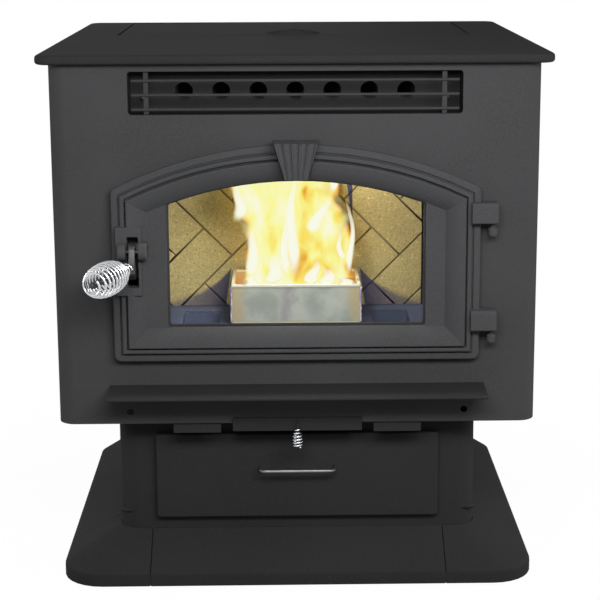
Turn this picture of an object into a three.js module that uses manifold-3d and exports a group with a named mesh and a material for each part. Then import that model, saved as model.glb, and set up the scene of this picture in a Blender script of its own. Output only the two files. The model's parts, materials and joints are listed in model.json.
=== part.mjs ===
// A pellet stove with a top-fed hopper, an arched glass door, an ash drawer in its pedestal and a
// flared base. Millimetres, +Z up. The stove faces -Y and X is measured from its middle. Sizes along
// Y are written from the front face of the cabinet; the finished group is moved so that the origin
// lies under the middle of the base.

import * as THREE from "three";
import { mergeVertices } from "three/addons/utils/BufferGeometryUtils.js";
import Module from "manifold-3d";

// ---- Fits ----
const seat = 0.3; // gap between pieces that touch
const slideGap = 0.6; // gap round a piece that slides
const lidGap = 2.5; // seam round the hopper lid
const pastCut = 60; // how far a long cut reaches past the wall that it cuts

// ---- Top plate and cabinet ----
const overallHeight = 762;
const plateWidth = 711;
const plateSideOverhang = 15.5;
const plateThickness = 13;
const plateFrontOverhang = 18;
const plateRearOverhang = 22;
const plateCorner = 22;
const plateEdgeRound = 4.5;
const cabinetDepth = 660;
const cabinetBottom = 238;
const cabinetCorner = 24;
const faceSheet = 3;
const caseSheet = 2.5;
const frontReturn = 70; // how far the front panel wraps round each side
const rearFlange = 22;

// ---- Pedestal and base ----
const pedestalWidth = 522;
const pedestalFront = 47;
const pedestalDepth = 513;
const pedestalCorner = 30;
const pedestalSheet = 3;
const skirtWidth = 684;
const skirtFront = -22;
const skirtDepth = 607;
const skirtCorner = 60;
const skirtRearCut = 45;
const skirtHeight = 64;
const lipHeight = 20;
const skirtWall = 5;
const frontSeam = 213; // the seams of the base, from the middle and from the cabinet's face
const sideSeam = 112;

// ---- Warm air outlet ----
const outletWidth = 460;
const outletBelowPlate = 10.5;
const outletHeight = 59.5;
const outletCorner = 5;
const outletDepth = 45;
const outletSheet = 2;
const grilleRod = 4;
const grilleRodLength = 450;
const grilleRods = 3;
const grillePitch = 19.8;
const grilleTopRodDrop = 12.9; // from the opening's top edge to the middle of the top rod
const grillePostX = 205;
const grillePostWidth = 6.5;
const tubeCount = 7;
const tubePitch = 51.8;
const tubeBore = 25.4;
const tubeWall = 1.8;
const tubesAboveOutletEdge = 28; // from the opening's lower edge to the middles of the tubes
const tubeLength = 282;

// ---- Firebox ----
const fireWidth = 410; // inside
const fireDepth = 259;
const fireFloor = 350;
const fireTopGap = 7; // under the top plate
const fireSheet = 3;
const mouthMargin = 15; // how far the mouth in the front panel lies outside the window
const brickWidth = 392;
const brickBelowTubes = 57;
const brickThickness = 12;
const brickSize = 61.3; // a brick of the moulded pattern is two of these long
const grooveWidth = 3;
const grooveDepth = 3;
const patternX = 162; // where two grooves of the pattern meet, from the middle and from the panel's foot
const patternRise = 79.7;
const potWidth = 192;
const potDepth = 112;
const potHeight = 60;
const potFront = 130;
const potWall = 4;
const potRimHeight = 4;
const potRimProud = 0.8;
const ashSlots = 6;
const chuteWidth = 56; // the fly ash drops
const chuteX = 143;
const chuteFront = 100;
const chuteDepth = 120;
const chuteSheet = 2;
const ashChuteWidth = 160; // the drop under the burn pot

// ---- Door ----
const doorWidth = 512;
const doorBottom = 333;
const doorBelowOutlet = 40;
const doorArchRadius = 559;
const doorCorner = 9;
const doorBack = -8;
const windowSide = 76; // from the door's edge to the window at each side
const mouldingWidth = 49;
const mouldingFront = -25.5;
const panelFace = -13;
const glassThickness = 4;
const glassLap = 10;
const retainerWidth = 12;
const gasketWidth = 9;
const hingeX = 272;
const hingeY = -17;
const hingePinDiameter = 6.4;
const hingeBossDiameter = 13;
const hingeBossHeight = 13;
const hingeEarHeight = 28.6;
const hingeEarDepth = 26;
const upperEarDrop = 81; // from the door's crown to the top of the upper ear
const lowerEarRise = 73; // from the door's bottom to the top of the lower ear
const hingeNeck = 7;

// ---- Door latch ----
const latchX = -226;
const latchPivotY = -30;
const latchBelowCrown = 145;
const latchPinDiameter = 6;
const latchLeverThickness = 8.5;
const latchSlotWidth = 15.5;
const latchSlotBelow = 52; // from the pivot down to the slot's end
const latchSlotAbove = 19.7;
const latchPadHalfWidth = 17.5;
const latchPadBelow = 63;
const latchPadAbove = 33;
const latchLugRadius = 12;
const latchLugWidth = 11;
const leverHub = 11; // radius round the pivot
const leverNose = 5; // how far the nose stands out of the hub
const leverNoseTop = 14; // the heights of the lever's corners, below the pivot
const leverGripAt = 20;
const leverNoseFoot = 28;
const leverBackTop = 30;
const leverBackFoot = 31;
const leverTailTop = 15;
const leverTailFoot = 36;
const leverChin = 38;
const leverHeel = 42;
const leverChinBack = 4; // from the pivot towards the nose
const leverBackReach = 22; // from the pivot towards the tail
const leverTail = 7; // thickness of the tail
const leverTailPoint = 1.5; // how far the tail's point clears the catch's edge
const handleLean = 24; // degrees towards the side of the stove
const handleDrop = 2; // degrees below level
const handleRod = 9;
const handleLength = 110;
const handleCoilStart = 10;
const handleCoilLength = 94;
const handleCoilTurns = 17;
const handleCoilWire = 3.2;
const handleCoilWide = 22.2; // from the rod's middle to the middle of the wire
const handleCoilNeck = 7.6;
const catchThickness = 4.7;
const catchBelowPivot = 10;

// ---- Ash lip ----
const lipWidth = 529;
const lipDepth = 62;
const lipBelowDoor = 37.4;
const lipThickness = 4.5;
const lipFall = 3;
const lipApron = 22;

// ---- Cleanout slides ----
const slideThickness = 2.8;
const sideTabWidth = 67.5;
const sideTabX = 142.5;
const sideTabDrop = 12.4;
const middleTabWidth = 184;
const middleTabTop = 246.4;
const middleTabBottom = 226.8;
const tabThickness = 3;
const slideLength = 246;
const knobLength = 27;
const knobTurns = 6;
const knobWire = 2.6;
const knobWide = 7.2;
const knobNeck = 3.4;
const knobStem = 3.6;
const knobStandOff = 9;
const pokerHole = 9.6;
const pokerHoleX = 237.5;
const pokerHoleZ = 256;

// ---- Ash drawer ----
const drawerFrontLap = 9.5; // how far the front stands past the pan at each side
const drawerFrontBottom = 83;
const drawerFrontHeight = 127;
const drawerFrontThickness = 11.7;
const drawerEdgeRound = 3;
const drawerWidth = 392;
const drawerBottom = 92;
const drawerHeight = 102;
const drawerDepth = 470;
const drawerSheet = 2;
const railWidth = 34;
const railThickness = 3;
const pullWire = 4.6;
const pullWidth = 112;
const pullReach = 24.7;
const pullHeight = 161;
const pullBend = 8;

// ---- Hopper, lid and feed ----
const hopperWidth = 540;
const hopperFront = 372;
const hopperBackGap = 10; // from the hopper's back to the cabinet's
const hopperSheet = 2;
const hopperFlange = 16;
const hopperWallHeight = 49; // the straight walls, above the slopes
const hopperNeckRise = 10; // the upright neck below the slopes, over the front of its foot
const lidWidth = 552;
const lidFront = 366;
const lidThickness = 10;
const lidHingeKnuckle = 8;
const lidHingePin = 3.4;
const lidHingeBehind = 1; // from the cabinet's back to the hinge's pin
const lidHingeKnuckles = 5;
const lidHingeLength = 480;
const lidPullLength = 98;
const lidPullRise = 7;
const lidPullDepth = 9;
const lidPullFromEdge = 38;
const augerFootY = 560;
const augerFootZ = 400;
const augerLength = 320;
const augerAngle = 34.5;
const augerDiameter = 56;
const augerShaft = 16;
const augerPitch = 48;
const augerFlight = 3;
const augerTubeBore = 64;
const augerTubeWall = 2.5;
const augerInletLength = 88;
const augerInletAt = 70; // from the foot to the middle of the inlet
const augerOutletLength = 50;
const motorLength = 70;
const motorWidth = 64;
const feedChuteWidth = 60;
const feedChuteLength = 118;
const feedChuteAngle = 40;
const feedChuteAbovePot = 94; // from the pot's rim to the chute's middle line at the firebox's back
const feedChuteReveal = 8; // how far it stands out of the brick panel

// ---- Blowers, flue and inlets ----
const scrollRadius = 62;
const scrollGrowth = 22;
const scrollSheet = 2;
const exhaustX = 178;
const exhaustWidth = 62;
const exhaustY = 420;
const exhaustZ = 385;
const exhaustThroat = 120; // from the shaft to the outlet's end
const exhaustThroatHeight = 64;
const exhaustEye = 50;
const exhaustWheel = 92;
const exhaustBlades = 8;
const flueBore = 76;
const flueWall = 2;
const flueEnd = 696;
const roomFromSide = 55; // from the cabinet's left side to the fan's middle
const roomWidth = 84;
const roomY = 420;
const roomZ = 345;
const roomThroat = 96;
const roomThroatHeight = 56;
const roomWheel = 100;
const roomBlades = 24;
const ductDepth = 36;
const ductFootDepth = 70;
const ductShoulderDrops = [147, 67]; // from the tubes down to where the duct narrows
const airPipeBore = 50;
const airPipeX = 92;
const airPipeZ = 292;
const airPipeEnd = 690;
const louvreCount = 9;
const louvreLength = 130;
const louvreHeight = 6;
const louvrePitch = 16;
const panelWidth = 74;
const panelHeight = 190;
const panelThickness = 4;
const panelFront = 96;
const panelBelowPlate = 54;

// ---- Sizes that follow from the ones above ----
const halfCabinet = plateWidth / 2 - plateSideOverhang;
const plateBottom = overallHeight - plateThickness;
const pedestalBack = pedestalFront + pedestalDepth;
const skirtBack = skirtFront + skirtDepth;
const slideTop = cabinetBottom - slideGap;
const slideBottom = slideTop - slideThickness;
const outletTop = plateBottom - outletBelowPlate;
const outletBottom = outletTop - outletHeight;
const grilleTopRod = outletTop - grilleTopRodDrop;
const tubeHeight = outletBottom + tubesAboveOutletEdge;
const fireTop = plateBottom - fireTopGap;
const fireBack = faceSheet + seat + fireDepth;
const brickHeight = tubeHeight - brickBelowTubes - fireFloor;
const doorCrown = outletBottom - doorBelowOutlet;
const windowWidth = doorWidth - 2 * windowSide;
const windowCrown = doorCrown - mouldingWidth;
const windowBottom = doorBottom + mouldingWidth;
const hingeEarTops = [doorCrown - upperEarDrop, doorBottom + lowerEarRise];
const latchPivotZ = doorCrown - latchBelowCrown;
const latchSlotBottom = latchPivotZ - latchSlotBelow;
const latchSlotTop = latchPivotZ + latchSlotAbove;
const catchBottom = latchPivotZ - catchBelowPivot;
const lipTop = doorBottom - lipBelowDoor;
const drawerFrontWidth = drawerWidth + 2 * drawerFrontLap;
const hopperShoulder = plateBottom - hopperWallHeight;
const hopperBack = cabinetDepth - hopperBackGap;
const lidHingeY = cabinetDepth + lidHingeBehind;
const feedMouthZ = fireFloor + potHeight + feedChuteAbovePot;
const roomX = roomFromSide - halfCabinet;
const ductShoulder = ductShoulderDrops.map((drop) => tubeHeight - drop);
const panelBottom = plateBottom - panelBelowPlate - panelHeight;
const glassFront = doorBack + seat;
const leverHalf = latchLeverThickness / 2;
const drawerFace = pedestalFront - seat - drawerFrontThickness;

// ---- Finishes ----
const finish = (color, roughness, metalness, extra = {}) =>
  new THREE.MeshStandardMaterial({ color, roughness, metalness, flatShading: true, ...extra });
const paint = finish(0x3a3b3d, 0.7, 0.2);
const castPaint = finish(0x414244, 0.65, 0.2);
const chrome = finish(0xd8dadd, 0.12, 1);
const steel = finish(0x8d9196, 0.45, 0.9);
const galvanised = finish(0xa4a8aa, 0.5, 0.8);
const brick = finish(0xb09c68, 0.95, 0);
const glass = finish(0x9fb0b5, 0.05, 0, { transparent: true, opacity: 0.3 });
const rope = finish(0x2c2c2c, 1, 0);
const black = finish(0x161719, 0.8, 0.3);
const plastic = finish(0x1d1e20, 0.5, 0);

// ---- Solids ----
const wasm = await Module();
wasm.setup();

// A closed geometry with its shared vertices merged and its faces turned outwards.
function closed(geometry) {
  const bare = geometry.index ? geometry.toNonIndexed() : geometry.clone();
  bare.deleteAttribute("normal");
  bare.deleteAttribute("uv");
  const merged = mergeVertices(bare, 1e-3);
  const corners = [new THREE.Vector3(), new THREE.Vector3(), new THREE.Vector3()];
  const { index, attributes } = merged;
  let volume = 0;
  for (let i = 0; i < index.count; i += 3) {
    corners.forEach((corner, k) => corner.fromBufferAttribute(attributes.position, index.getX(i + k)));
    volume += corners[0].dot(corners[1].clone().cross(corners[2]));
  }
  if (volume < 0) {
    for (let i = 0; i < index.count; i += 3) {
      const second = index.getX(i + 1);
      index.setX(i + 1, index.getX(i + 2));
      index.setX(i + 2, second);
    }
  }
  return merged;
}

function toSolid(geometry) {
  const { index, attributes } = closed(geometry);
  const mesh = new wasm.Mesh({
    numProp: 3,
    vertProperties: new Float32Array(attributes.position.array),
    triVerts: new Uint32Array(index.array),
  });
  return new wasm.Manifold(mesh);
}

function toGeometry(solid) {
  const { vertProperties, triVerts } = solid.getMesh();
  return new THREE.BufferGeometry()
    .setAttribute("position", new THREE.BufferAttribute(new Float32Array(vertProperties), 3))
    .setIndex(new THREE.BufferAttribute(new Uint32Array(triVerts), 1));
}

const join = (...shapes) => toGeometry(shapes.map(toSolid).reduce((whole, next) => whole.add(next)));
const cut = (body, ...tools) =>
  toGeometry(tools.map(toSolid).reduce((left, tool) => left.subtract(tool), toSolid(body)));

// ---- Shapes ----
const block = (x0, x1, y0, y1, z0, z1) =>
  new THREE.BoxGeometry(x1 - x0, y1 - y0, z1 - z0).translate((x0 + x1) / 2, (y0 + y1) / 2, (z0 + z1) / 2);

const flat = (depth, curveSegments) => ({ depth, bevelEnabled: false, curveSegments });

// An outline in X and Y, raised from one height to another.
const raiseZ = (shape, z0, z1, steps = 3) =>
  new THREE.ExtrudeGeometry(shape, flat(z1 - z0, steps)).translate(0, 0, z0);

// An outline in X and Z, run from y0 back to y1.
const raiseY = (shape, y0, y1, steps = 3) =>
  new THREE.ExtrudeGeometry(shape, flat(y1 - y0, steps)).rotateX(Math.PI / 2).translate(0, y1, 0);

// An outline in Y and Z, run from x0 to x1.
const raiseX = (shape, x0, x1, steps = 3) =>
  new THREE.ExtrudeGeometry(shape, flat(x1 - x0, steps))
    .applyMatrix4(new THREE.Matrix4().set(0, 0, 1, 0, 1, 0, 0, 0, 0, 1, 0, 0, 0, 0, 0, 1))
    .translate(x0, 0, 0);

const polygon = (points) => new THREE.Shape(points.map(([x, y]) => new THREE.Vector2(x, y)));

// A rectangle whose four corners have their own radii, from low left, anticlockwise.
function roundRect(x0, x1, y0, y1, lowRadius, highRadius = lowRadius) {
  const shape = new THREE.Shape();
  shape.moveTo(x0 + lowRadius, y0);
  shape.lineTo(x1 - lowRadius, y0);
  if (lowRadius) shape.absarc(x1 - lowRadius, y0 + lowRadius, lowRadius, -Math.PI / 2, 0);
  shape.lineTo(x1, y1 - highRadius);
  if (highRadius) shape.absarc(x1 - highRadius, y1 - highRadius, highRadius, 0, Math.PI / 2);
  shape.lineTo(x0 + highRadius, y1);
  if (highRadius) shape.absarc(x0 + highRadius, y1 - highRadius, highRadius, Math.PI / 2, Math.PI);
  shape.lineTo(x0, y0 + lowRadius);
  if (lowRadius) shape.absarc(x0 + lowRadius, y0 + lowRadius, lowRadius, Math.PI, 1.5 * Math.PI);
  return shape;
}

const rodZ = (diameter, z0, z1, x, y, sides = 16) =>
  new THREE.CylinderGeometry(diameter / 2, diameter / 2, z1 - z0, sides)
    .rotateX(Math.PI / 2)
    .translate(x, y, (z0 + z1) / 2);
const rodY = (diameter, y0, y1, x, z, sides = 16) =>
  new THREE.CylinderGeometry(diameter / 2, diameter / 2, y1 - y0, sides).translate(x, (y0 + y1) / 2, z);
const rodX = (diameter, x0, x1, y, z, sides = 16) =>
  new THREE.CylinderGeometry(diameter / 2, diameter / 2, x1 - x0, sides)
    .rotateZ(Math.PI / 2)
    .translate((x0 + x1) / 2, y, z);

// A pipe along Y, turned from its wall's section.
const pipeY = (bore, wall, y0, y1, x, z, sides = 20) =>
  new THREE.LatheGeometry(
    [
      [bore / 2, y0],
      [bore / 2 + wall, y0],
      [bore / 2 + wall, y1],
      [bore / 2, y1],
      [bore / 2, y0],
    ].map(([radius, y]) => new THREE.Vector2(radius, y)),
    sides,
  ).translate(x, 0, z);

// A skin through rings of equal counts of points. An open run is capped at its ends, a round one joins up.
function skin(rings, round = false) {
  const count = rings[0].length;
  const points = rings.flat();
  const faces = [];
  const last = round ? rings.length : rings.length - 1;
  for (let i = 0; i < last; i++) {
    const here = i * count;
    const next = ((i + 1) % rings.length) * count;
    for (let k = 0; k < count; k++) {
      const after = (k + 1) % count;
      faces.push(here + k, here + after, next + after, here + k, next + after, next + k);
    }
  }
  if (!round) {
    for (const [start, ring, turned] of [
      [0, rings[0], true],
      [(rings.length - 1) * count, rings[rings.length - 1], false],
    ]) {
      for (const [a, b, c] of THREE.ShapeUtils.triangulateShape(flatten(ring), [])) {
        faces.push(...(turned ? [start + c, start + b, start + a] : [start + a, start + b, start + c]));
      }
    }
  }
  const geometry = new THREE.BufferGeometry().setFromPoints(points);
  geometry.setIndex(faces);
  return closed(geometry);
}

// A flat ring of points seen square on, turning the same way as the ring.
function flatten(ring) {
  const normal = new THREE.Vector3();
  ring.forEach((point, k) => normal.add(point.clone().cross(ring[(k + 1) % ring.length])));
  normal.normalize();
  const across = Math.abs(normal.x) < 0.9 ? new THREE.Vector3(1, 0, 0) : new THREE.Vector3(0, 1, 0);
  const u = across.sub(normal.clone().multiplyScalar(across.dot(normal))).normalize();
  const v = normal.clone().cross(u);
  return ring.map((point) => new THREE.Vector2(point.dot(u), point.dot(v)));
}

// An outline with straight sides, a level bottom and an arched top, anticlockwise in X and Z.
function arched(halfWidth, bottom, crown, archRadius, corner, archSteps = 14, cornerSteps = 3) {
  const middle = crown - archRadius;
  const points = [];
  const arc = (x, z, radius, from, to, steps) => {
    for (let i = 0; i <= steps; i++) {
      const angle = from + ((to - from) * i) / steps;
      points.push(new THREE.Vector2(x + radius * Math.cos(angle), z + radius * Math.sin(angle)));
    }
  };
  const cornerX = halfWidth - corner;
  const cornerZ = middle + Math.sqrt((archRadius - corner) ** 2 - cornerX ** 2);
  const spring = Math.atan2(cornerZ - middle, cornerX);
  arc(-cornerX, bottom + corner, corner, Math.PI, 1.5 * Math.PI, cornerSteps);
  arc(cornerX, bottom + corner, corner, 1.5 * Math.PI, 2 * Math.PI, cornerSteps);
  arc(cornerX, cornerZ, corner, 0, spring, cornerSteps);
  for (let i = 1; i < archSteps; i++) {
    const angle = spring + ((Math.PI - 2 * spring) * i) / archSteps;
    points.push(new THREE.Vector2(archRadius * Math.cos(angle), middle + archRadius * Math.sin(angle)));
  }
  arc(-cornerX, cornerZ, corner, Math.PI - spring, Math.PI, cornerSteps);
  return points;
}

// The door's outline, drawn in by an inset: every edge of the door and what it covers is one of these.
const doorOutline = (inset) =>
  arched(
    doorWidth / 2 - inset,
    doorBottom + inset,
    doorCrown - inset,
    doorArchRadius - inset,
    Math.max(doorCorner - inset, 0.6),
  );
// The window's outline, grown by a margin.
const windowOutline = (margin) =>
  arched(
    windowWidth / 2 + margin,
    windowBottom - margin,
    windowCrown + margin,
    doorArchRadius - mouldingWidth + margin,
    4 + Math.max(margin, 0) / 4,
  );

// A wire along points, with an even section and flat ends.
function wire(points, diameter, sides) {
  const rings = [];
  const tangentAt = (i) =>
    points[Math.min(i + 1, points.length - 1)].clone().sub(points[Math.max(i - 1, 0)]).normalize();
  let side = tangentAt(0).cross(new THREE.Vector3(0.31, 0.17, 0.93)).normalize();
  points.forEach((point, i) => {
    const along = tangentAt(i);
    side = side.sub(along.clone().multiplyScalar(side.dot(along))).normalize();
    const up = along.clone().cross(side);
    const ring = [];
    for (let k = 0; k < sides; k++) {
      const angle = (2 * Math.PI * k) / sides;
      ring.push(
        point
          .clone()
          .addScaledVector(side, (Math.cos(angle) * diameter) / 2)
          .addScaledVector(up, (Math.sin(angle) * diameter) / 2),
      );
    }
    rings.push(ring);
  });
  return skin(rings);
}

// The middle line of a spring wound round +Z: its radius follows a belly between two narrow ends,
// and each end of the wire runs straight for one wire diameter.
function springLine({ length, turns, thickness, wide, neck, tail }) {
  const steps = turns * 8;
  const points = [];
  for (let i = 0; i <= steps; i++) {
    const t = i / steps;
    const belly = Math.sin(Math.PI * Math.min(1, Math.max(0, (t - 0.12) / 0.94))) ** 0.8;
    const radius = (t < 0.5 ? neck : tail) + (wide - (t < 0.5 ? neck : tail)) * belly;
    const angle = 2 * Math.PI * turns * t;
    points.push(new THREE.Vector3(radius * Math.cos(angle), radius * Math.sin(angle), length * t));
  }
  const straight = (end, before) => end.clone().add(end.clone().sub(before).setLength(thickness));
  points.unshift(straight(points[0], points[1]));
  points.push(straight(points[points.length - 1], points[points.length - 2]));
  return points;
}

// The least gap between a wound wire's turns, measured on the points of its middle line.
function leastGap(points, thickness) {
  let least = Infinity;
  for (let i = 0; i < points.length; i++) {
    for (let k = i + 5; k < points.length; k++) least = Math.min(least, points[i].distanceTo(points[k]));
  }
  return least - thickness;
}

// ---- Assembly ----
const stove = new THREE.Group();
stove.position.y = -(skirtFront + skirtBack) / 2;

function piece(name, geometry, material, group = stove) {
  const mesh = new THREE.Mesh(geometry, material);
  mesh.geometry.computeVertexNormals();
  mesh.name = name;
  group.add(mesh);
  return mesh;
}

// ---- Pedestal: a folded box with its floor, the drawer's opening and the drawer's rails ----
function makePedestal() {
  const half = pedestalWidth / 2;
  const top = cabinetBottom - seat;
  const shell = raiseZ(roundRect(-half, half, pedestalFront, pedestalBack, pedestalCorner, 6), 0, top);
  const room = raiseZ(
    roundRect(
      -half + pedestalSheet,
      half - pedestalSheet,
      pedestalFront + pedestalSheet,
      pedestalBack - pedestalSheet,
      pedestalCorner - pedestalSheet,
      3,
    ),
    pedestalSheet,
    top + 5,
  );
  const openingHalf = drawerWidth / 2 + 2;
  const opening = block(
    -openingHalf,
    openingHalf,
    pedestalFront - 5,
    pedestalFront + 20,
    drawerBottom - 4,
    drawerBottom + drawerHeight + 3,
  );
  const slideWay = sideTabX + sideTabWidth / 2 + 3;
  const notch = block(
    -slideWay,
    slideWay,
    pedestalFront - 5,
    pedestalFront + 20,
    slideBottom - slideGap,
    top + 5,
  );
  const railTop = drawerBottom - seat;
  const rail = (side) => {
    const outer = side * (half - pedestalSheet / 2);
    const inner = side * (drawerWidth / 2 - railWidth / 2);
    return block(
      Math.min(outer, inner),
      Math.max(outer, inner),
      pedestalFront + pedestalSheet / 2,
      pedestalBack - pedestalSheet - 20,
      railTop - railThickness,
      railTop,
    );
  };
  piece("pedestal", join(cut(shell, room, opening, notch), rail(-1), rail(1)), paint);
}

// ---- Base: a flared skirt of six castings round the pedestal's foot ----
// Stations round the right half of an outline, from the front seam to the middle of the back.
function skirtContour(halfWidth, front, back, corner, rearCut) {
  const points = [new THREE.Vector2(frontSeam, front)];
  const steps = 7;
  for (let i = 0; i <= steps; i++) {
    const angle = -Math.PI / 2 + ((Math.PI / 2) * i) / steps;
    points.push(
      new THREE.Vector2(
        halfWidth - corner + corner * Math.cos(angle),
        front + corner + corner * Math.sin(angle),
      ),
    );
  }
  points.push(new THREE.Vector2(halfWidth, sideSeam));
  points.push(new THREE.Vector2(halfWidth, back - rearCut));
  points.push(new THREE.Vector2(halfWidth - rearCut, back));
  return points;
}

function makeBase() {
  const foot = pedestalWidth / 2 + seat;
  const outer = skirtContour(skirtWidth / 2, skirtFront, skirtBack, skirtCorner, skirtRearCut);
  const inner = skirtContour(foot, pedestalFront - seat, pedestalBack + seat, pedestalCorner, 3);
  const cornerLast = outer.length - 3;
  const sideLast = outer.length - 2;
  // The section from the foot of the pedestal down to the floor: a slope, a rounded nose and an upright lip.
  const section = (a, b, mirror) => {
    const out = b.clone().sub(a);
    const width = out.length();
    out.normalize();
    const run = (distance, z) =>
      new THREE.Vector3(mirror * (a.x + out.x * distance), a.y + out.y * distance, z);
    return [
      run(0, skirtHeight),
      run(width - 6, lipHeight + 3.5),
      run(width - 1.6, lipHeight),
      run(width, lipHeight - 3),
      run(width, 0),
      run(width - skirtWall, 0),
      run(width - skirtWall, lipHeight - 5),
      run(width - skirtWall - 4, lipHeight - 2.5),
      run(0, skirtHeight - skirtWall - 1),
    ];
  };
  const between = (a, b, distance) => a.clone().add(b.clone().sub(a).setLength(distance));
  const run = (from, to, mirror) => {
    const near = inner.slice(from, to + 1);
    const far = outer.slice(from, to + 1);
    const last = near.length - 1;
    const inset = (line, end, next) => between(line[end], line[next], seat);
    const nearEnds = [inset(near, 0, 1), inset(near, last, last - 1)];
    const farEnds = [inset(far, 0, 1), inset(far, last, last - 1)];
    near[0] = nearEnds[0];
    near[last] = nearEnds[1];
    far[0] = farEnds[0];
    far[last] = farEnds[1];
    return skin(near.map((point, i) => section(point, far[i], mirror)));
  };
  for (const [side, mirror] of [
    ["left", -1],
    ["right", 1],
  ]) {
    piece("base_corner_" + side, run(0, cornerLast, mirror), castPaint);
    piece("base_side_" + side, run(cornerLast, sideLast, mirror), castPaint);
  }
  const frontNear = new THREE.Vector2(frontSeam - seat, pedestalFront - seat);
  const frontFar = new THREE.Vector2(frontSeam - seat, skirtFront);
  piece("base_front", skin([section(frontNear, frontFar, -1), section(frontNear, frontFar, 1)]), castPaint);
  const rearStart = sideLast;
  const back = [between(inner[rearStart], inner[rearStart + 1], seat), inner[rearStart + 1]];
  const backFar = [between(outer[rearStart], outer[rearStart + 1], seat), outer[rearStart + 1]];
  piece(
    "base_back",
    skin([
      section(back[0], backFar[0], -1),
      section(back[1], backFar[1], -1),
      section(back[1], backFar[1], 1),
      section(back[0], backFar[0], 1),
    ]),
    castPaint,
  );
}

// ---- Cabinet casing ----

const ashDrops = () => [
  { x: 0, width: ashChuteWidth, front: potFront + 6, depth: potDepth - 12 },
  { x: -chuteX, width: chuteWidth, front: chuteFront, depth: chuteDepth },
  { x: chuteX, width: chuteWidth, front: chuteFront, depth: chuteDepth },
];
const dropBlock = ({ x, width, front, depth }, grow, z0, z1) =>
  block(x - width / 2 - grow, x + width / 2 + grow, front - grow, front + depth + grow, z0, z1);

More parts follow.
